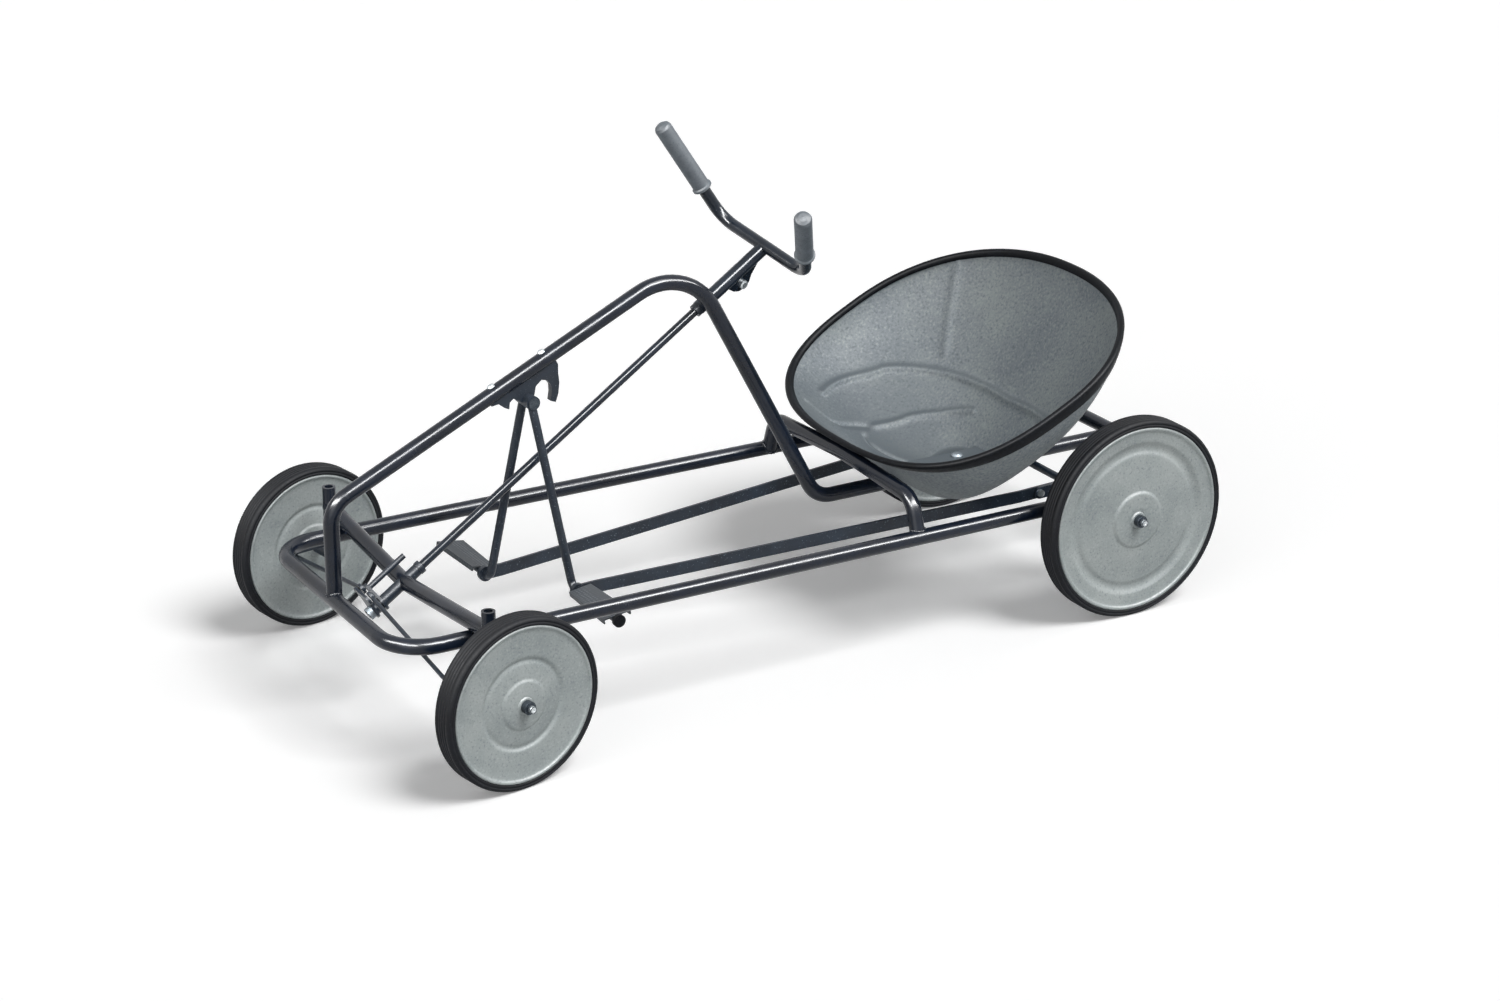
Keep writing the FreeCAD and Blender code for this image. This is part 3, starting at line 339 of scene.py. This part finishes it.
relief = add_node(tree, "ShaderNodeBump", {"Distance": 0.08 / 1000, "Strength": 0.4},
                  {"Height": noise["speckle"], "Normal": waves.outputs["Normal"]})
tree.links.new(relief.outputs["Normal"], shader.inputs["Normal"])
print(seat_plastic.name, "has", len(tree.nodes), "nodes")

# %% [markdown]
# The pedal treads are pressed from sheet and enamelled dark, with a fine stud pattern that
# gives a shoe some hold. The studs are worn pale and smooth on top. A brick-like grid would
# look too regular at this size, so cells with slightly shifted centres draw them.

# %% Pedal tread
stud_pitch_mm = 5
tread_enamel, tree, shader, noise = new_finish("pressed_tread_enamel", 0.0, 0.45, 1.52)
studs = add_node(tree, "ShaderNodeTexVoronoi",
                 {"feature": "F1", "Scale": 1000 / stud_pitch_mm, "Randomness": 0.15},
                 {"Vector": noise["place"]}).outputs["Distance"]
tree.links.new(laid_over(tree, "#4a545e", "#262e36", studs, 0.1, 0.45),
               shader.inputs["Base Color"])
gloss = add_node(tree, "ShaderNodeMapRange",
                 {"From Min": 0.1, "From Max": 0.5, "To Min": 0.36, "To Max": 0.6},
                 {"Value": studs})
tree.links.new(gloss.outputs["Result"], shader.inputs["Roughness"])
relief = add_node(tree, "ShaderNodeBump", {"Distance": -0.5 / 1000, "Strength": 0.5},
                  {"Height": studs})
tree.links.new(relief.outputs["Normal"], shader.inputs["Normal"])
print(tread_enamel.name, "has studs every", stud_pitch_mm, "mm")

# %% [markdown]
# Every CAD piece now gets its finish by the start of its name, and what isn't listed is frame.
# The pieces keep their own mesh: only a shading modifier is added, which keeps flat faces flat
# and round ones round.

# %% Finish for each piece
finish_of = {
    "tyre": tyre_rubber, "discs": disc_paint, "hub": disc_paint, "rear_nuts": black_steel,
    "front_nut": black_steel, "column_nut": dull_zinc, "seat_bolt": dull_zinc,
    "seat_wing_nut": dull_zinc, "stem_bolt": zinc_plate, "pedal_hanger_bolts": zinc_plate,
    "crank_strap_bolts": zinc_plate, "pedal_pivot_pin": black_steel, "grip": grip_vinyl,
    "seat_edging": edging_vinyl, "seat_shell": seat_plastic, "pedal_cap": cap_rubber,
    "pedal_tread": tread_enamel, "axle_bushes": bush_bronze, "crank_bush": bush_bronze,
    "column_rod": column_enamel, "stem_tube": column_enamel, "handlebar": column_enamel,
    "column": linkage_enamel, "knuckle": linkage_enamel, "track_rod": linkage_enamel,
    "pedal": linkage_enamel, "push_rod": linkage_enamel, "crank": linkage_enamel,
    "seat_saddle": linkage_enamel,
}
for name, node in nodes.items():
    starts = [start for start in finish_of if name.startswith(start)]
    finish = finish_of[max(starts, key=len)] if starts else frame_enamel
    node.data.materials.clear()
    node.data.materials.append(finish)
    node.modifiers.new("even_shading", "WEIGHTED_NORMAL").keep_sharp = True
print(len(nodes), "pieces finished")

# %% [markdown]
# New pieces are meshes made from points and faces. One function makes each, turns its faces
# the right way, shades it smooth and lets it ride on the CAD body that carries it. Most shapes
# here are rings of points joined by strips of quads, like the hoops of a hose.


# %% New pieces
def new_piece(name, points, faces, finish, body):
    """Mesh object with smooth faces that rides on a CAD body."""
    mesh = bpy.data.meshes.new(name)
    mesh.from_pydata([tuple(point) for point in points], [], faces)
    work = bmesh.new()
    work.from_mesh(mesh)
    bmesh.ops.recalc_face_normals(work, faces=work.faces)
    work.to_mesh(mesh)
    work.free()
    mesh.polygons.foreach_set("use_smooth", [True] * len(mesh.polygons))
    mesh.materials.append(finish)
    piece = bpy.data.objects.new(name, mesh)
    scene.collection.objects.link(piece)
    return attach(piece, body)


def ring_quads(first, second, count):
    """Quads between two closed rings of count points, given by their first indices."""
    return [(first + i, first + (i + 1) % count, second + (i + 1) % count, second + i)
            for i in range(count)]


print("a strip between rings of 8 points has", len(ring_quads(0, 8, 8)), "quads")

# %% [markdown]
# The seat is one egg-shaped bucket, tipped back so that its rim rises behind the child. It can
# be drawn as a stack of closed curves that shrink with depth, which is how its mould would be
# lofted. Two such surfaces, one wall apart, make the shell. Positions on the bucket are given
# by a share of the depth and by an angle round the rim, 0 at the back and 180 at the front.
# Lengths along the kart are measured from the rear axle, which the joint of its name gives.

# %% Bucket surface
rear_axle_x = joints["rear_axle_spin"]["pos_m"][0]
seat_tilt = math.radians(26.3)
seat_middle = Vector((rear_axle_x + 0.1444, 0, 0.351))
seat_back = Vector((-math.cos(seat_tilt), 0, math.sin(seat_tilt)))
seat_down = Vector((-math.sin(seat_tilt), 0, -math.cos(seat_tilt)))
seat_depth = 0.178
seat_wall = 0.004
front_reach, front_lip, floor_front = 0.227, 0.055, 0.105
back_reach, floor_back = 0.228, -0.030
half_width, floor_half_width = 0.277, 0.066
# a roundness of 2 is an ellipse, and more is squarer
back_roundness, front_roundness = 2.2, 2.7
# how each wall bends with depth: a power of 1 is straight, more bends it harder
lip_power, front_power, back_power, side_power = 2.5, 5, 1.15, 1.7


def bucket_points(share, degrees, inset):
    """Points of the bucket for arrays of depth shares and angles, as an (n, 3) array."""
    angle = np.radians(degrees)
    front = (front_reach - front_lip * (1 - (1 - share) ** lip_power)
             + (floor_front + front_lip - front_reach) * share ** front_power - inset)
    back = back_reach + (floor_back - back_reach) * share ** back_power - inset
    width = half_width + (floor_half_width - half_width) * share ** side_power - inset
    power = np.where(np.cos(angle) > 0, 2 / back_roundness, 2 / front_roundness)
    along = np.abs(np.cos(angle)) ** power * np.sign(np.cos(angle))
    across = np.abs(np.sin(angle)) ** power * np.sign(np.sin(angle))
    lengthwise = (back - front) / 2 + (back + front) / 2 * along
    return (np.array(seat_middle) + np.outer(seat_depth * share, seat_down)
            + np.outer(lengthwise, seat_back) + np.outer(width * across, (0, 1, 0)))


print("rim spans", [round(v, 3) for v in np.ptp(bucket_points(np.zeros(72),
                                                np.arange(0, 360, 5), 0), axis=0)], "m")

# %% [markdown]
# The moulding has creases: a fold where the back meets the pan, an upright crease at each rear
# corner, and shallow panels in the pan with narrow ridges between them. Each crease is a short
# list of places on the bucket, joined into a dense line and eased so that it has no corners.
# The mould is symmetric, so each is also laid on the other side.


# %% Crease lines
def eased(values, window=27, rounds=3):
    """Rounds the corners of a dense line by a moving average; its ends stay."""
    for _ in range(rounds):
        padded = np.pad(values, window // 2, mode="reflect", reflect_type="odd")
        values = np.convolve(padded, np.ones(window) / window, mode="valid")
    return values


def crease(places):
    """Dense points along a line through (depth share, degrees) places, and its mirror."""
    step = np.linspace(0, len(places) - 1, 160)
    shares, degrees = (eased(np.interp(step, range(len(places)), values))
                       for values in zip(*places))
    line = bucket_points(shares * (1 - seat_wall / seat_depth), degrees, seat_wall)
    return np.vstack([line, line * (1, -1, 1)])


# each crease: its height and half width in mm, negative for a groove, then its places
creases = {
    "fold": (4.0, 5.5, [(0.30, 232), (0.36, 248), (0.47, 266), (0.58, 286), (0.65, 308),
                        (0.71, 334), (0.735, 360)]),
    "corner": (3.0, 8.0, [(0.01, 313), (0.21, 312), (0.38, 311), (0.55, 309)]),
    "front": (-3.0, 4.5, [(0.16, 214), (0.26, 212), (0.38, 212), (0.50, 219), (0.60, 232),
                          (0.69, 244)]),
    "side": (3.5, 4.5, [(0.69, 244), (0.78, 267), (0.84, 300), (0.83, 334)]),
    "middle": (-3.0, 4.5, [(0.68, 231), (0.72, 226), (0.81, 226), (0.92, 229)]),
}
crease_lines = {name: crease(places) for name, (_, _, places) in creases.items()}
print("points per crease:", {name: len(line) for name, line in crease_lines.items()})

# %% [markdown]
# Down the middle of the pan runs a ridge: there the shell rides over the spine tube, and the
# mould was raised to clear it. The floor is lifted to the ridge's height within a tube's
# width of the middle, on both faces of the shell, so that the wall stays one thickness.

# %% Seat surfaces
spine_run_z = 0.169
# the ridge is flat out to narrow and fades away by wide, both from the middle plane
outer_ridge = {"top": spine_run_z + 0.0145, "narrow": 0.0142, "wide": 0.0178}
inner_ridge = {"top": spine_run_z + 0.0180, "narrow": 0.0175, "wide": 0.0300}
around = np.arange(0, 360, 0.75)
depths = np.concatenate([np.linspace(0, 0.9, 84), np.linspace(0.9, 1, 14)[1:]])
floor_rings = np.linspace(1, 0, 12)[1:-1]


def over_spine(points, top, narrow, wide):
    """Lifts points near the middle plane to the top of the ridge over the spine."""
    outward = np.clip((np.abs(points[:, 1]) - narrow) / (wide - narrow), 0, 1)
    share = 1 - outward * outward * (3 - 2 * outward)
    points[:, 2] += np.clip(top - points[:, 2], 0, None) * share
    return points


def shell_face(inset, scale):
    """Rings of one face of the shell, from the rim down to the floor, and its centre."""
    rings = [bucket_points(np.full(len(around), share * scale), around, inset)
             for share in depths]
    centre = rings[-1].mean(axis=0)
    rings += [centre + (rings[-1] - centre) * size for size in floor_rings]
    return np.vstack(rings), centre


outer, outer_centre = shell_face(0.0, 1.0)
inner, inner_centre = shell_face(seat_wall, 1 - seat_wall / seat_depth)
outer = over_spine(outer, **outer_ridge)
inner = over_spine(inner, **inner_ridge)
print("seat faces have", len(outer), "points each")

# %% [markdown]
# A tree of points finds how far each point of the inner face is from the nearest crease. The
# point then moves towards the middle of the bucket's mouth by a bell curve, so each crease is
# a soft bead a few millimetres high. That direction is close to the inward normal on the walls
# and on the pan alike, and the shell stays closed, which a cut or a separate strip would not.


# %% Lay the creases on the inner face
def bead(line, points, spread):
    """Bell curve of each point's distance from a line of points: 1 on it, 0 far off."""
    tree_of_points = KDTree(len(line))
    for index, point in enumerate(line):
        tree_of_points.insert(point, index)
    tree_of_points.balance()
    distance = np.array([tree_of_points.find(point)[2] for point in points])
    return np.exp(-(distance / spread) ** 2)


inward = np.array(seat_middle) - inner
inward /= np.linalg.norm(inward, axis=1)[:, None]
height = sum(rise_mm / 1000 * bead(crease_lines[name], inner, spread_mm / 1000)
             for name, (rise_mm, spread_mm, _) in creases.items())
inner = inner + inward * height[:, None]
print("creases reach", round(height.min() * 1000, 1), "to", round(height.max() * 1000, 1), "mm")

# %% [markdown]
# The mesh is stitched from the two faces: strips of quads between neighbouring rings, a fan
# at each centre, and one strip that joins the faces at the rim.

# %% Stitch the seat
count = len(around)
rings_per_face = len(depths) + len(floor_rings)
outer_centre = (outer_centre[0], 0, max(outer_centre[2], outer_ridge["top"]))
inner_centre = (inner_centre[0], 0, max(inner_centre[2], inner_ridge["top"]))
points = [*outer, outer_centre, *inner, inner_centre]
inner_start = len(outer) + 1
faces = ring_quads(inner_start, 0, count)
for start, centre, flip in ((0, len(outer), False), (inner_start, len(points) - 1, True)):
    side = []
    for ring in range(rings_per_face - 1):
        side += ring_quads(start + ring * count, start + (ring + 1) * count, count)
    last = start + (rings_per_face - 1) * count
    side += [(last + i, last + (i + 1) % count, centre) for i in range(count)]
    faces += [face[::-1] for face in side] if flip else side

seat = new_piece("seat_moulding", points, faces, seat_plastic, "root")
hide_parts("seat_shell")
print("seat has", len(seat.data.polygons), "faces")

# %% [markdown]
# A black vinyl strip covers the cut rim. It is a channel pushed over the edge: a short lip
# inside, a rounded top and a deeper skirt outside, which shows as a dark band from the near
# side. Its section is drawn at every step round the rim, as offsets from the bucket's own
# surface, and the sections are joined into a hoop.


# %% Rim edging
def rim_points(depth_mm, outward_mm):
    """Ring of points a depth below the rim and an offset outside the bucket, in mm."""
    share = max(depth_mm / 1000 / seat_depth, 0)
    ring = bucket_points(np.full(len(around), share), around, -outward_mm / 1000)
    return ring - np.outer(np.full(len(around), max(-depth_mm, 0) / 1000), seat_down)


edging_section = [(15, 0.2), (15.6, 1.4), (15, 2.6), (10, 3.0), (4, 3.1), (0, 3.0), (-2.4, 2.2),
                  (-4.0, 0.4), (-4.6, -2.0), (-4.0, -4.4), (-2.4, -6.2), (0, -7.0),
                  (3.4, -7.0), (4.2, -6.2), (4.4, -4.2)]
rings = [rim_points(depth, outward) for depth, outward in edging_section]
faces = []
for i in range(len(rings)):
    faces += ring_quads(i * count, (i + 1) % len(rings) * count, count)
edging = new_piece("seat_edging_channel", np.vstack(rings), faces, edging_vinyl, "root")
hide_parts("seat_edging")
rim = rings[edging_section.index((0, 3.0))]
print("edging runs", round(float(np.linalg.norm(np.diff(rim, axis=0), axis=1).sum()), 2), "m")

# %% [markdown]
# A solid tyre is a plain ring in CAD. The real one has rounded shoulders, a small moulded rib
# on each side wall and shallow grooves round the tread. Such a shape is a lathe job: its
# section is written down as (across, radius) pairs and spun round the axle.


# %% Spun shapes
def spin(section, centre, axle, steps):
    """Points and faces of a closed section spun round an axle through centre."""
    axle = Vector(axle).normalized()
    first = axle.orthogonal().normalized()
    second = axle.cross(first)
    turns = [2 * math.pi * step / steps for step in range(steps)]
    points = [centre + axle * across + (first * math.cos(turn) + second * math.sin(turn)) * radius
              for turn in turns for across, radius in section]
    size = len(section)
    faces = []
    for step in range(steps):
        faces += ring_quads(step * size, (step + 1) % steps * size, size)
    return points, faces


print("a square spun in 12 steps has", len(spin([(0, 1), (1, 1), (1, 2), (0, 2)], Vector(),
                                                (0, 1, 0), 12)[1]), "faces")

# %% [markdown]
# Half the tyre's section is drawn, from the rim out over the shoulder to the middle of the
# tread, and the other half is its mirror image.


# %% Tyre section
def tyre_section(radius, thickness, width):
    """Section of a tyre: flat inside, ribbed side walls, round shoulders, grooved tread."""
    half, rim, shoulder, rib_height = width / 2, radius - thickness, 0.005, 0.0007
    side = [(half - 0.0012, rim), (half - 0.0002, rim + 0.0008), (half, rim + 0.0016),
            (half, rim + 0.0030), (half - rib_height, rim + 0.0036),
            (half - rib_height, radius - shoulder - 0.0004)]
    for step in range(9):
        turn = math.radians(90 * step / 8)
        side.append((half - shoulder + shoulder * math.cos(turn),
                     radius - shoulder + shoulder * math.sin(turn)))
    groove_depth = 0.0009
    for groove in (0.0075, 0.0025):
        side += [(groove + 0.0010, radius), (groove + 0.0004, radius - groove_depth),
                 (groove - 0.0004, radius - groove_depth), (groove - 0.0010, radius)]
    return side + [(-across, height) for across, height in reversed(side)]


tyre_thickness = 0.0105
wheel_width = 0.034
print("tyre section has", len(tyre_section(0.15, tyre_thickness, wheel_width)), "points")

# %% [markdown]
# Each wheel turns on a joint of the frame, and the joint knows its axle. The front wheels
# stand steered a little to the left, so taking the direction from the joint saves working it
# out again. The middle of each tyre comes from the box of its CAD piece.

# %% Tyres
wheel_joint = {"front_left": joints["wheel_front_left_spin"],
               "front_right": joints["wheel_front_right_spin"],
               "rear_left": joints["rear_axle_spin"],
               "rear_right": joints["rear_axle_spin"]}
wheel_middle = {}
wheel_radius = {}
for wheel, joint in wheel_joint.items():
    low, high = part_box("tyre_" + wheel)
    wheel_middle[wheel] = (low + high) / 2
    wheel_radius[wheel] = (high.z - low.z) / 2
    section = tyre_section(wheel_radius[wheel], tyre_thickness, wheel_width)
    points, faces = spin(section, wheel_middle[wheel], joint["axis"], 144)
    tyre = new_piece("tyre_" + wheel + "_moulded", points, faces, tyre_rubber, joint["child"])
    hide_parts("tyre_" + wheel)
    print(wheel, "tyre has a radius of", round(wheel_radius[wheel], 4), "m")

# %% [markdown]
# Each wheel has two discs pressed from thin sheet. Pressed steel has no sharp corners, so the
# corners of the section are cut twice by Chaikin's rule, which takes a quarter off each side
# of a corner. The rear discs have a deep groove and a low cone, the front ones two steps. A
# disc's outer line goes from its rim to its hub: how far it stands out from the tyre's face in
# mm, and a share of the rim's radius.


# %% Section of a pressed disc
def rounded(line, rounds=2):
    """Cuts the corners of an open line by Chaikin's rule."""
    for _ in range(rounds):
        cut = [line[0]]
        for (x0, y0), (x1, y1) in zip(line, line[1:]):
            cut += [(0.75 * x0 + 0.25 * x1, 0.75 * y0 + 0.25 * y1),
                    (0.25 * x0 + 0.75 * x1, 0.25 * y0 + 0.75 * y1)]
        line = cut + [line[-1]]
    return line


def disc_section(line, rim, sheet=0.0016):
    """Closed section of one disc of sheet metal from its outer line."""
    face = wheel_width / 2
    outer_line = rounded([(face + out_mm / 1000, rim * share) for out_mm, share in line])
    return outer_line + [(across - sheet, height) for across, height in reversed(outer_line)]


disc_line = {
    "rear": [(-4.0, 1.0), (0.3, 0.995), (0.3, 0.968), (-2.4, 0.955), (-3.2, 0.90),
             (-4.0, 0.845), (-4.6, 0.83), (-8.4, 0.78), (-8.4, 0.735), (-5.8, 0.70),
             (-5.2, 0.66), (-2.2, 0.40), (-1.7, 0.325), (-1.3, 0.31), (1.4, 0.285),
             (1.8, 0.26), (2.0, 0.18), (1.8, 0.125), (1.0, 0.115), (1.0, 0.095)],
    "front": [(-4.0, 1.0), (0.3, 0.995), (0.3, 0.965), (-2.6, 0.945), (-3.4, 0.85),
              (-4.2, 0.66), (-4.4, 0.60), (-7.4, 0.565), (-7.4, 0.54), (-5.4, 0.50),
              (-3.6, 0.36), (-3.4, 0.325), (-0.9, 0.295), (-0.4, 0.26), (0.8, 0.18),
              (1.0, 0.13), (1.0, 0.12)],
}
print("points per section:", {name: len(disc_section(line, 0.14))
                              for name, line in disc_line.items()})

# %% [markdown]
# Both discs of a wheel are one new piece, the second turned to face inwards. Both rear wheels
# share one CAD node, which the left one stands for.

# %% Discs
discs_node = {"front_left": "discs_front_left", "front_right": "discs_front_right",
              "rear_left": "discs_rear"}
for wheel, joint in wheel_joint.items():
    section = disc_section(disc_line[wheel.split("_")[0]], wheel_radius[wheel] - tyre_thickness)
    points, faces = [], []
    for side in (1, -1):
        new_points, new_faces = spin(section, wheel_middle[wheel],
                                     Vector(joint["axis"]) * side, 128)
        faces += [tuple(index + len(points) for index in face) for face in new_faces]
        points += new_points
    disc = new_piece("discs_" + wheel + "_pressed", points, faces, disc_paint, joint["child"])
    if wheel in discs_node:
        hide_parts(discs_node[wheel])
    print(disc.name, "has", len(faces), "faces")

# %% [markdown]
# The axle ends are turned down bare, to take a push-on cap. Bare turned steel is bright, while
# the axle behind it is painted. A thin sleeve with a rounded end shows that. The part's record
# has a mount at the middle of each end, with its direction, radius and length.

# %% Bare axle ends
sleeve_wall = 0.0001
for wheel in wheel_joint:
    front_or_rear, side = wheel.split("_")
    mount = mounts[front_or_rear + "_axle_end_" + side]
    length = mount["dims"]["length_mm"] / 1000
    radius = mount["dims"]["r_mm"] / 1000 + sleeve_wall
    section = [(0, 0.001), (0, radius), (length - 0.001, radius),
               (length - 0.0003, radius - 0.0004), (length + 0.0002, 0.0035),
               (length + 0.0004, 0.0001)]
    axle = Vector(mount["axis"])
    points, faces = spin(section, Vector(mount["pos_m"]) - axle * (length / 2), axle, 40)
    body = "knuckle_" + side if front_or_rear == "front" else "rear_axle"
    end = new_piece("axle_end_" + wheel, points, faces, zinc_plate, body)
    print(end.name, "is", round(length * 1000, 1), "mm long and rides on", body)

# %% [markdown]
# Where one tube meets another, a weld bead runs round the joint. A tube that ends on another
# meets it in a saddle curve: from each point of the first tube's skin, go along the tube until
# the second tube's skin is reached.


# %% Saddle curves
def saddle(start, along, other, other_along, radius, steps=72):
    """Curve where a tube through start, heading along, meets the skin of another tube."""
    start, along = Vector(start), Vector(along).normalized()
    other, other_along = Vector(other), Vector(other_along).normalized()
    first = along.orthogonal().normalized()
    second = along.cross(first)
    curve = []
    for step in range(steps):
        turn = 2 * math.pi * step / steps
        skin = start + (first * math.cos(turn) + second * math.sin(turn)) * radius
        gap = skin - other
        gap -= other_along * gap.dot(other_along)
        heading = along - other_along * along.dot(other_along)
        # the reach solves a quadratic equation: there the gap is one radius long
        a, b = heading.length_squared, gap.dot(heading)
        c = gap.length_squared - radius ** 2
        reach = (-b - math.sqrt(max(b * b - a * c, 0))) / a
        curve.append(skin + along * reach)
    return curve


print("a saddle has", len(saddle((0, 0, 1), (0, 0, -1), (0, 0, 0), (0, 1, 0), 0.1)), "points")

# %% [markdown]
# The bead is a thin tube along that curve. It swells and shrinks with each stitch of the
# welder, and it is painted together with the tubes.

# %% Weld beads
bead_radius = 0.0016
stitch_length = 0.0032


def weld_bead(name, curve):
    """Closed lumpy tube along a curve, on the frame."""
    count, sides = len(curve), 10
    length = sum((curve[i] - curve[i - 1]).length for i in range(count))
    stitches = round(length / stitch_length)
    middle = sum(curve, Vector()) / count
    points, faces = [], []
    for i, point in enumerate(curve):
        tangent = (curve[(i + 1) % count] - curve[i - 1]).normalized()
        outward = point - middle
        outward = (outward - tangent * outward.dot(tangent)).normalized()
        sideways = tangent.cross(outward)
        swell = bead_radius * (1 + 0.28 * math.sin(2 * math.pi * stitches * i / count)
                               + 0.10 * math.sin(5.3 * i))
        for side in range(sides):
            turn = 2 * math.pi * side / sides
            points.append(point + (outward * math.cos(turn) + sideways * math.sin(turn)) * swell)
        faces += ring_quads(i * sides, (i + 1) % count * sides, sides)
    print(name, "is", round(length * 1000), "mm long, in", stitches, "stitches")
    return new_piece(name, points, faces, frame_enamel, "root")


print("a bead is", bead_radius * 2000, "mm thick and a stitch", stitch_length * 1000, "mm long")

# %% [markdown]
# The joints to weld here are the foot and the tail of the spine and the feet of the seat arch.
# The spine's foot comes down on the front crossbar and its tail runs into the rear one, while
# each foot of the arch slants down and outwards on a side rail.

# %% Weld the frame
tube = 0.011
rail_y, rail_z = 0.2088, 0.171
front_bar = (rear_axle_x + 1.141, 0, rail_z)
rear_bar = (rear_axle_x - 0.157, 0, rail_z)
over_foot = (rear_axle_x + 1.139, 0, 0.25)
spine_run = (rear_axle_x, 0, spine_run_z)
across_kart, along_kart = (0, 1, 0), (1, 0, 0)
down, backwards = (0, 0, -1), (-1, 0, 0)
weld_bead("weld_spine_foot", saddle(over_foot, down, front_bar, across_kart, tube))
weld_bead("weld_spine_tail", saddle(spine_run, backwards, rear_bar, across_kart, tube))

arch_x = rear_axle_x + 0.339
shoulder_z = 0.224
foot_inset, shoulder_inset = 0.004, 0.022
for name, side in (("left", 1), ("right", -1)):
    rail = (0, side * rail_y, rail_z)
    foot = Vector((arch_x, side * (rail_y - foot_inset), rail_z))
    shoulder = Vector((arch_x, side * (rail_y - shoulder_inset), shoulder_z))
    weld_bead("weld_arch_" + name, saddle(shoulder, foot - shoulder, rail, along_kart, tube))

# %% [markdown]
# The kart stands in a white studio. What rays from the camera, from a shiny surface and
# through glass find differs from what lights the kart: one share, 1 for those rays and 0 for
# all others, chooses between the two.


# %% Rays that see the studio
def seen_share(tree):
    """1 for rays from the camera, from a reflection or through glass, 0 for others."""
    rays = add_node(tree, "ShaderNodeLightPath").outputs
    direct = add_node(tree, "ShaderNodeMath", {"operation": "MAXIMUM"},
                      {0: rays["Is Camera Ray"], 1: rays["Is Glossy Ray"]})
    through = add_node(tree, "ShaderNodeMath", {"operation": "MAXIMUM"},
                       {0: direct.outputs[0], 1: rays["Is Transmission Ray"]})
    return through.outputs[0]


white = linear("#ffffff")
print("white in linear light is", white[:3])

# %% [markdown]
# The floor is a large matt white sheet that carries a soft shadow. To the camera it adds just
# enough glow to reach pure white where it is fully lit, and keeps its shadow elsewhere. What
# it throws back on the kart is a little less.

# %% Floor
floor_mesh = bpy.data.meshes.new("studio_floor")
floor_mesh.from_pydata([(-40, -60, 0), (40, -60, 0), (40, 40, 0), (-40, 40, 0)], [],
                       [(0, 1, 2, 3)])
floor = bpy.data.objects.new("studio_floor", floor_mesh)
scene.collection.objects.link(floor)

studio_white = bpy.data.materials.new("studio_white")
studio_white.use_nodes = True
tree = studio_white.node_tree
tree.nodes.clear()
matt = add_node(tree, "ShaderNodeBsdfDiffuse", {"Color": linear("#b4b4b4")})
clean = add_node(tree, "ShaderNodeBsdfDiffuse", {"Color": white})
glow = add_node(tree, "ShaderNodeEmission", {"Strength": 0.16})
both = add_node(tree, "ShaderNodeAddShader", links={0: clean.outputs[0], 1: glow.outputs[0]})
choice = add_node(tree, "ShaderNodeMixShader",
                  links={0: seen_share(tree), 1: matt.outputs[0], 2: both.outputs[0]})
add_node(tree, "ShaderNodeOutputMaterial", links={"Surface": choice.outputs[0]})
floor_mesh.materials.append(studio_white)
print("floor is", [round(v) for v in floor.dimensions], "m")

# %% [markdown]
# The world is plain white to the camera and in reflections, and lights the kart more softly
# than that, so that the lamps can shape it.

# %% World
world = bpy.data.worlds.new("studio")
scene.world = world
world.use_nodes = True
tree = world.node_tree
tree.nodes.clear()
ambient = add_node(tree, "ShaderNodeBackground", {"Color": white, "Strength": 0.2})
backdrop = add_node(tree, "ShaderNodeBackground", {"Color": white, "Strength": 1.0})
choice = add_node(tree, "ShaderNodeMixShader",
                  links={0: seen_share(tree), 1: ambient.outputs[0], 2: backdrop.outputs[0]})
add_node(tree, "ShaderNodeOutputWorld", links={"Surface": choice.outputs[0]})
print("world has", len(tree.nodes), "nodes")

# %% [markdown]
# One broad key light stands high on the kart's left side, a little behind its middle, so the
# wheel discs and the far wall of the seat are lit. A sun with a wide disc does this evenly
# over the whole floor. A weak, low and even wider one fills the back of the seat from the
# front. Two long soft boxes add the bright streaks along the tubes: one beside the kart and
# one before it. They light only what reflects.


# %% Lamps
def new_lamp(name, kind, energy, place, target):
    """A lamp at a place that shines at a target."""
    lamp = bpy.data.objects.new(name, bpy.data.lights.new(name, kind))
    scene.collection.objects.link(lamp)
    lamp.data.energy = energy
    lamp.location = place
    lamp.rotation_euler = (Vector(target) - Vector(place)).to_track_quat("-Z", "Y").to_euler()
    return lamp


key = new_lamp("key", "SUN", 2.2, (-1.0, 1.8, 3.1), (0, 0, 0))
key.data.angle = math.radians(30)
fill = new_lamp("fill", "SUN", 0.6, (1.7, 1.3, 0.9), (0, 0, 0))
fill.data.angle = math.radians(50)
side_strip = new_lamp("side_strip", "AREA", 420, (-1.2, 1.7, 2.2), (-1.2, 0, 0.2))
front_strip = new_lamp("front_strip", "AREA", 300, (2.4, 0.6, 2.0), (0.5, 0, 0.2))
for strip, length in ((side_strip, 5.0), (front_strip, 3.0)):
    strip.data.shape = "RECTANGLE"
    strip.data.size = length
    strip.data.size_y = 0.6
    strip.visible_diffuse = False
print(len(bpy.data.lights), "lamps")

# %% [markdown]
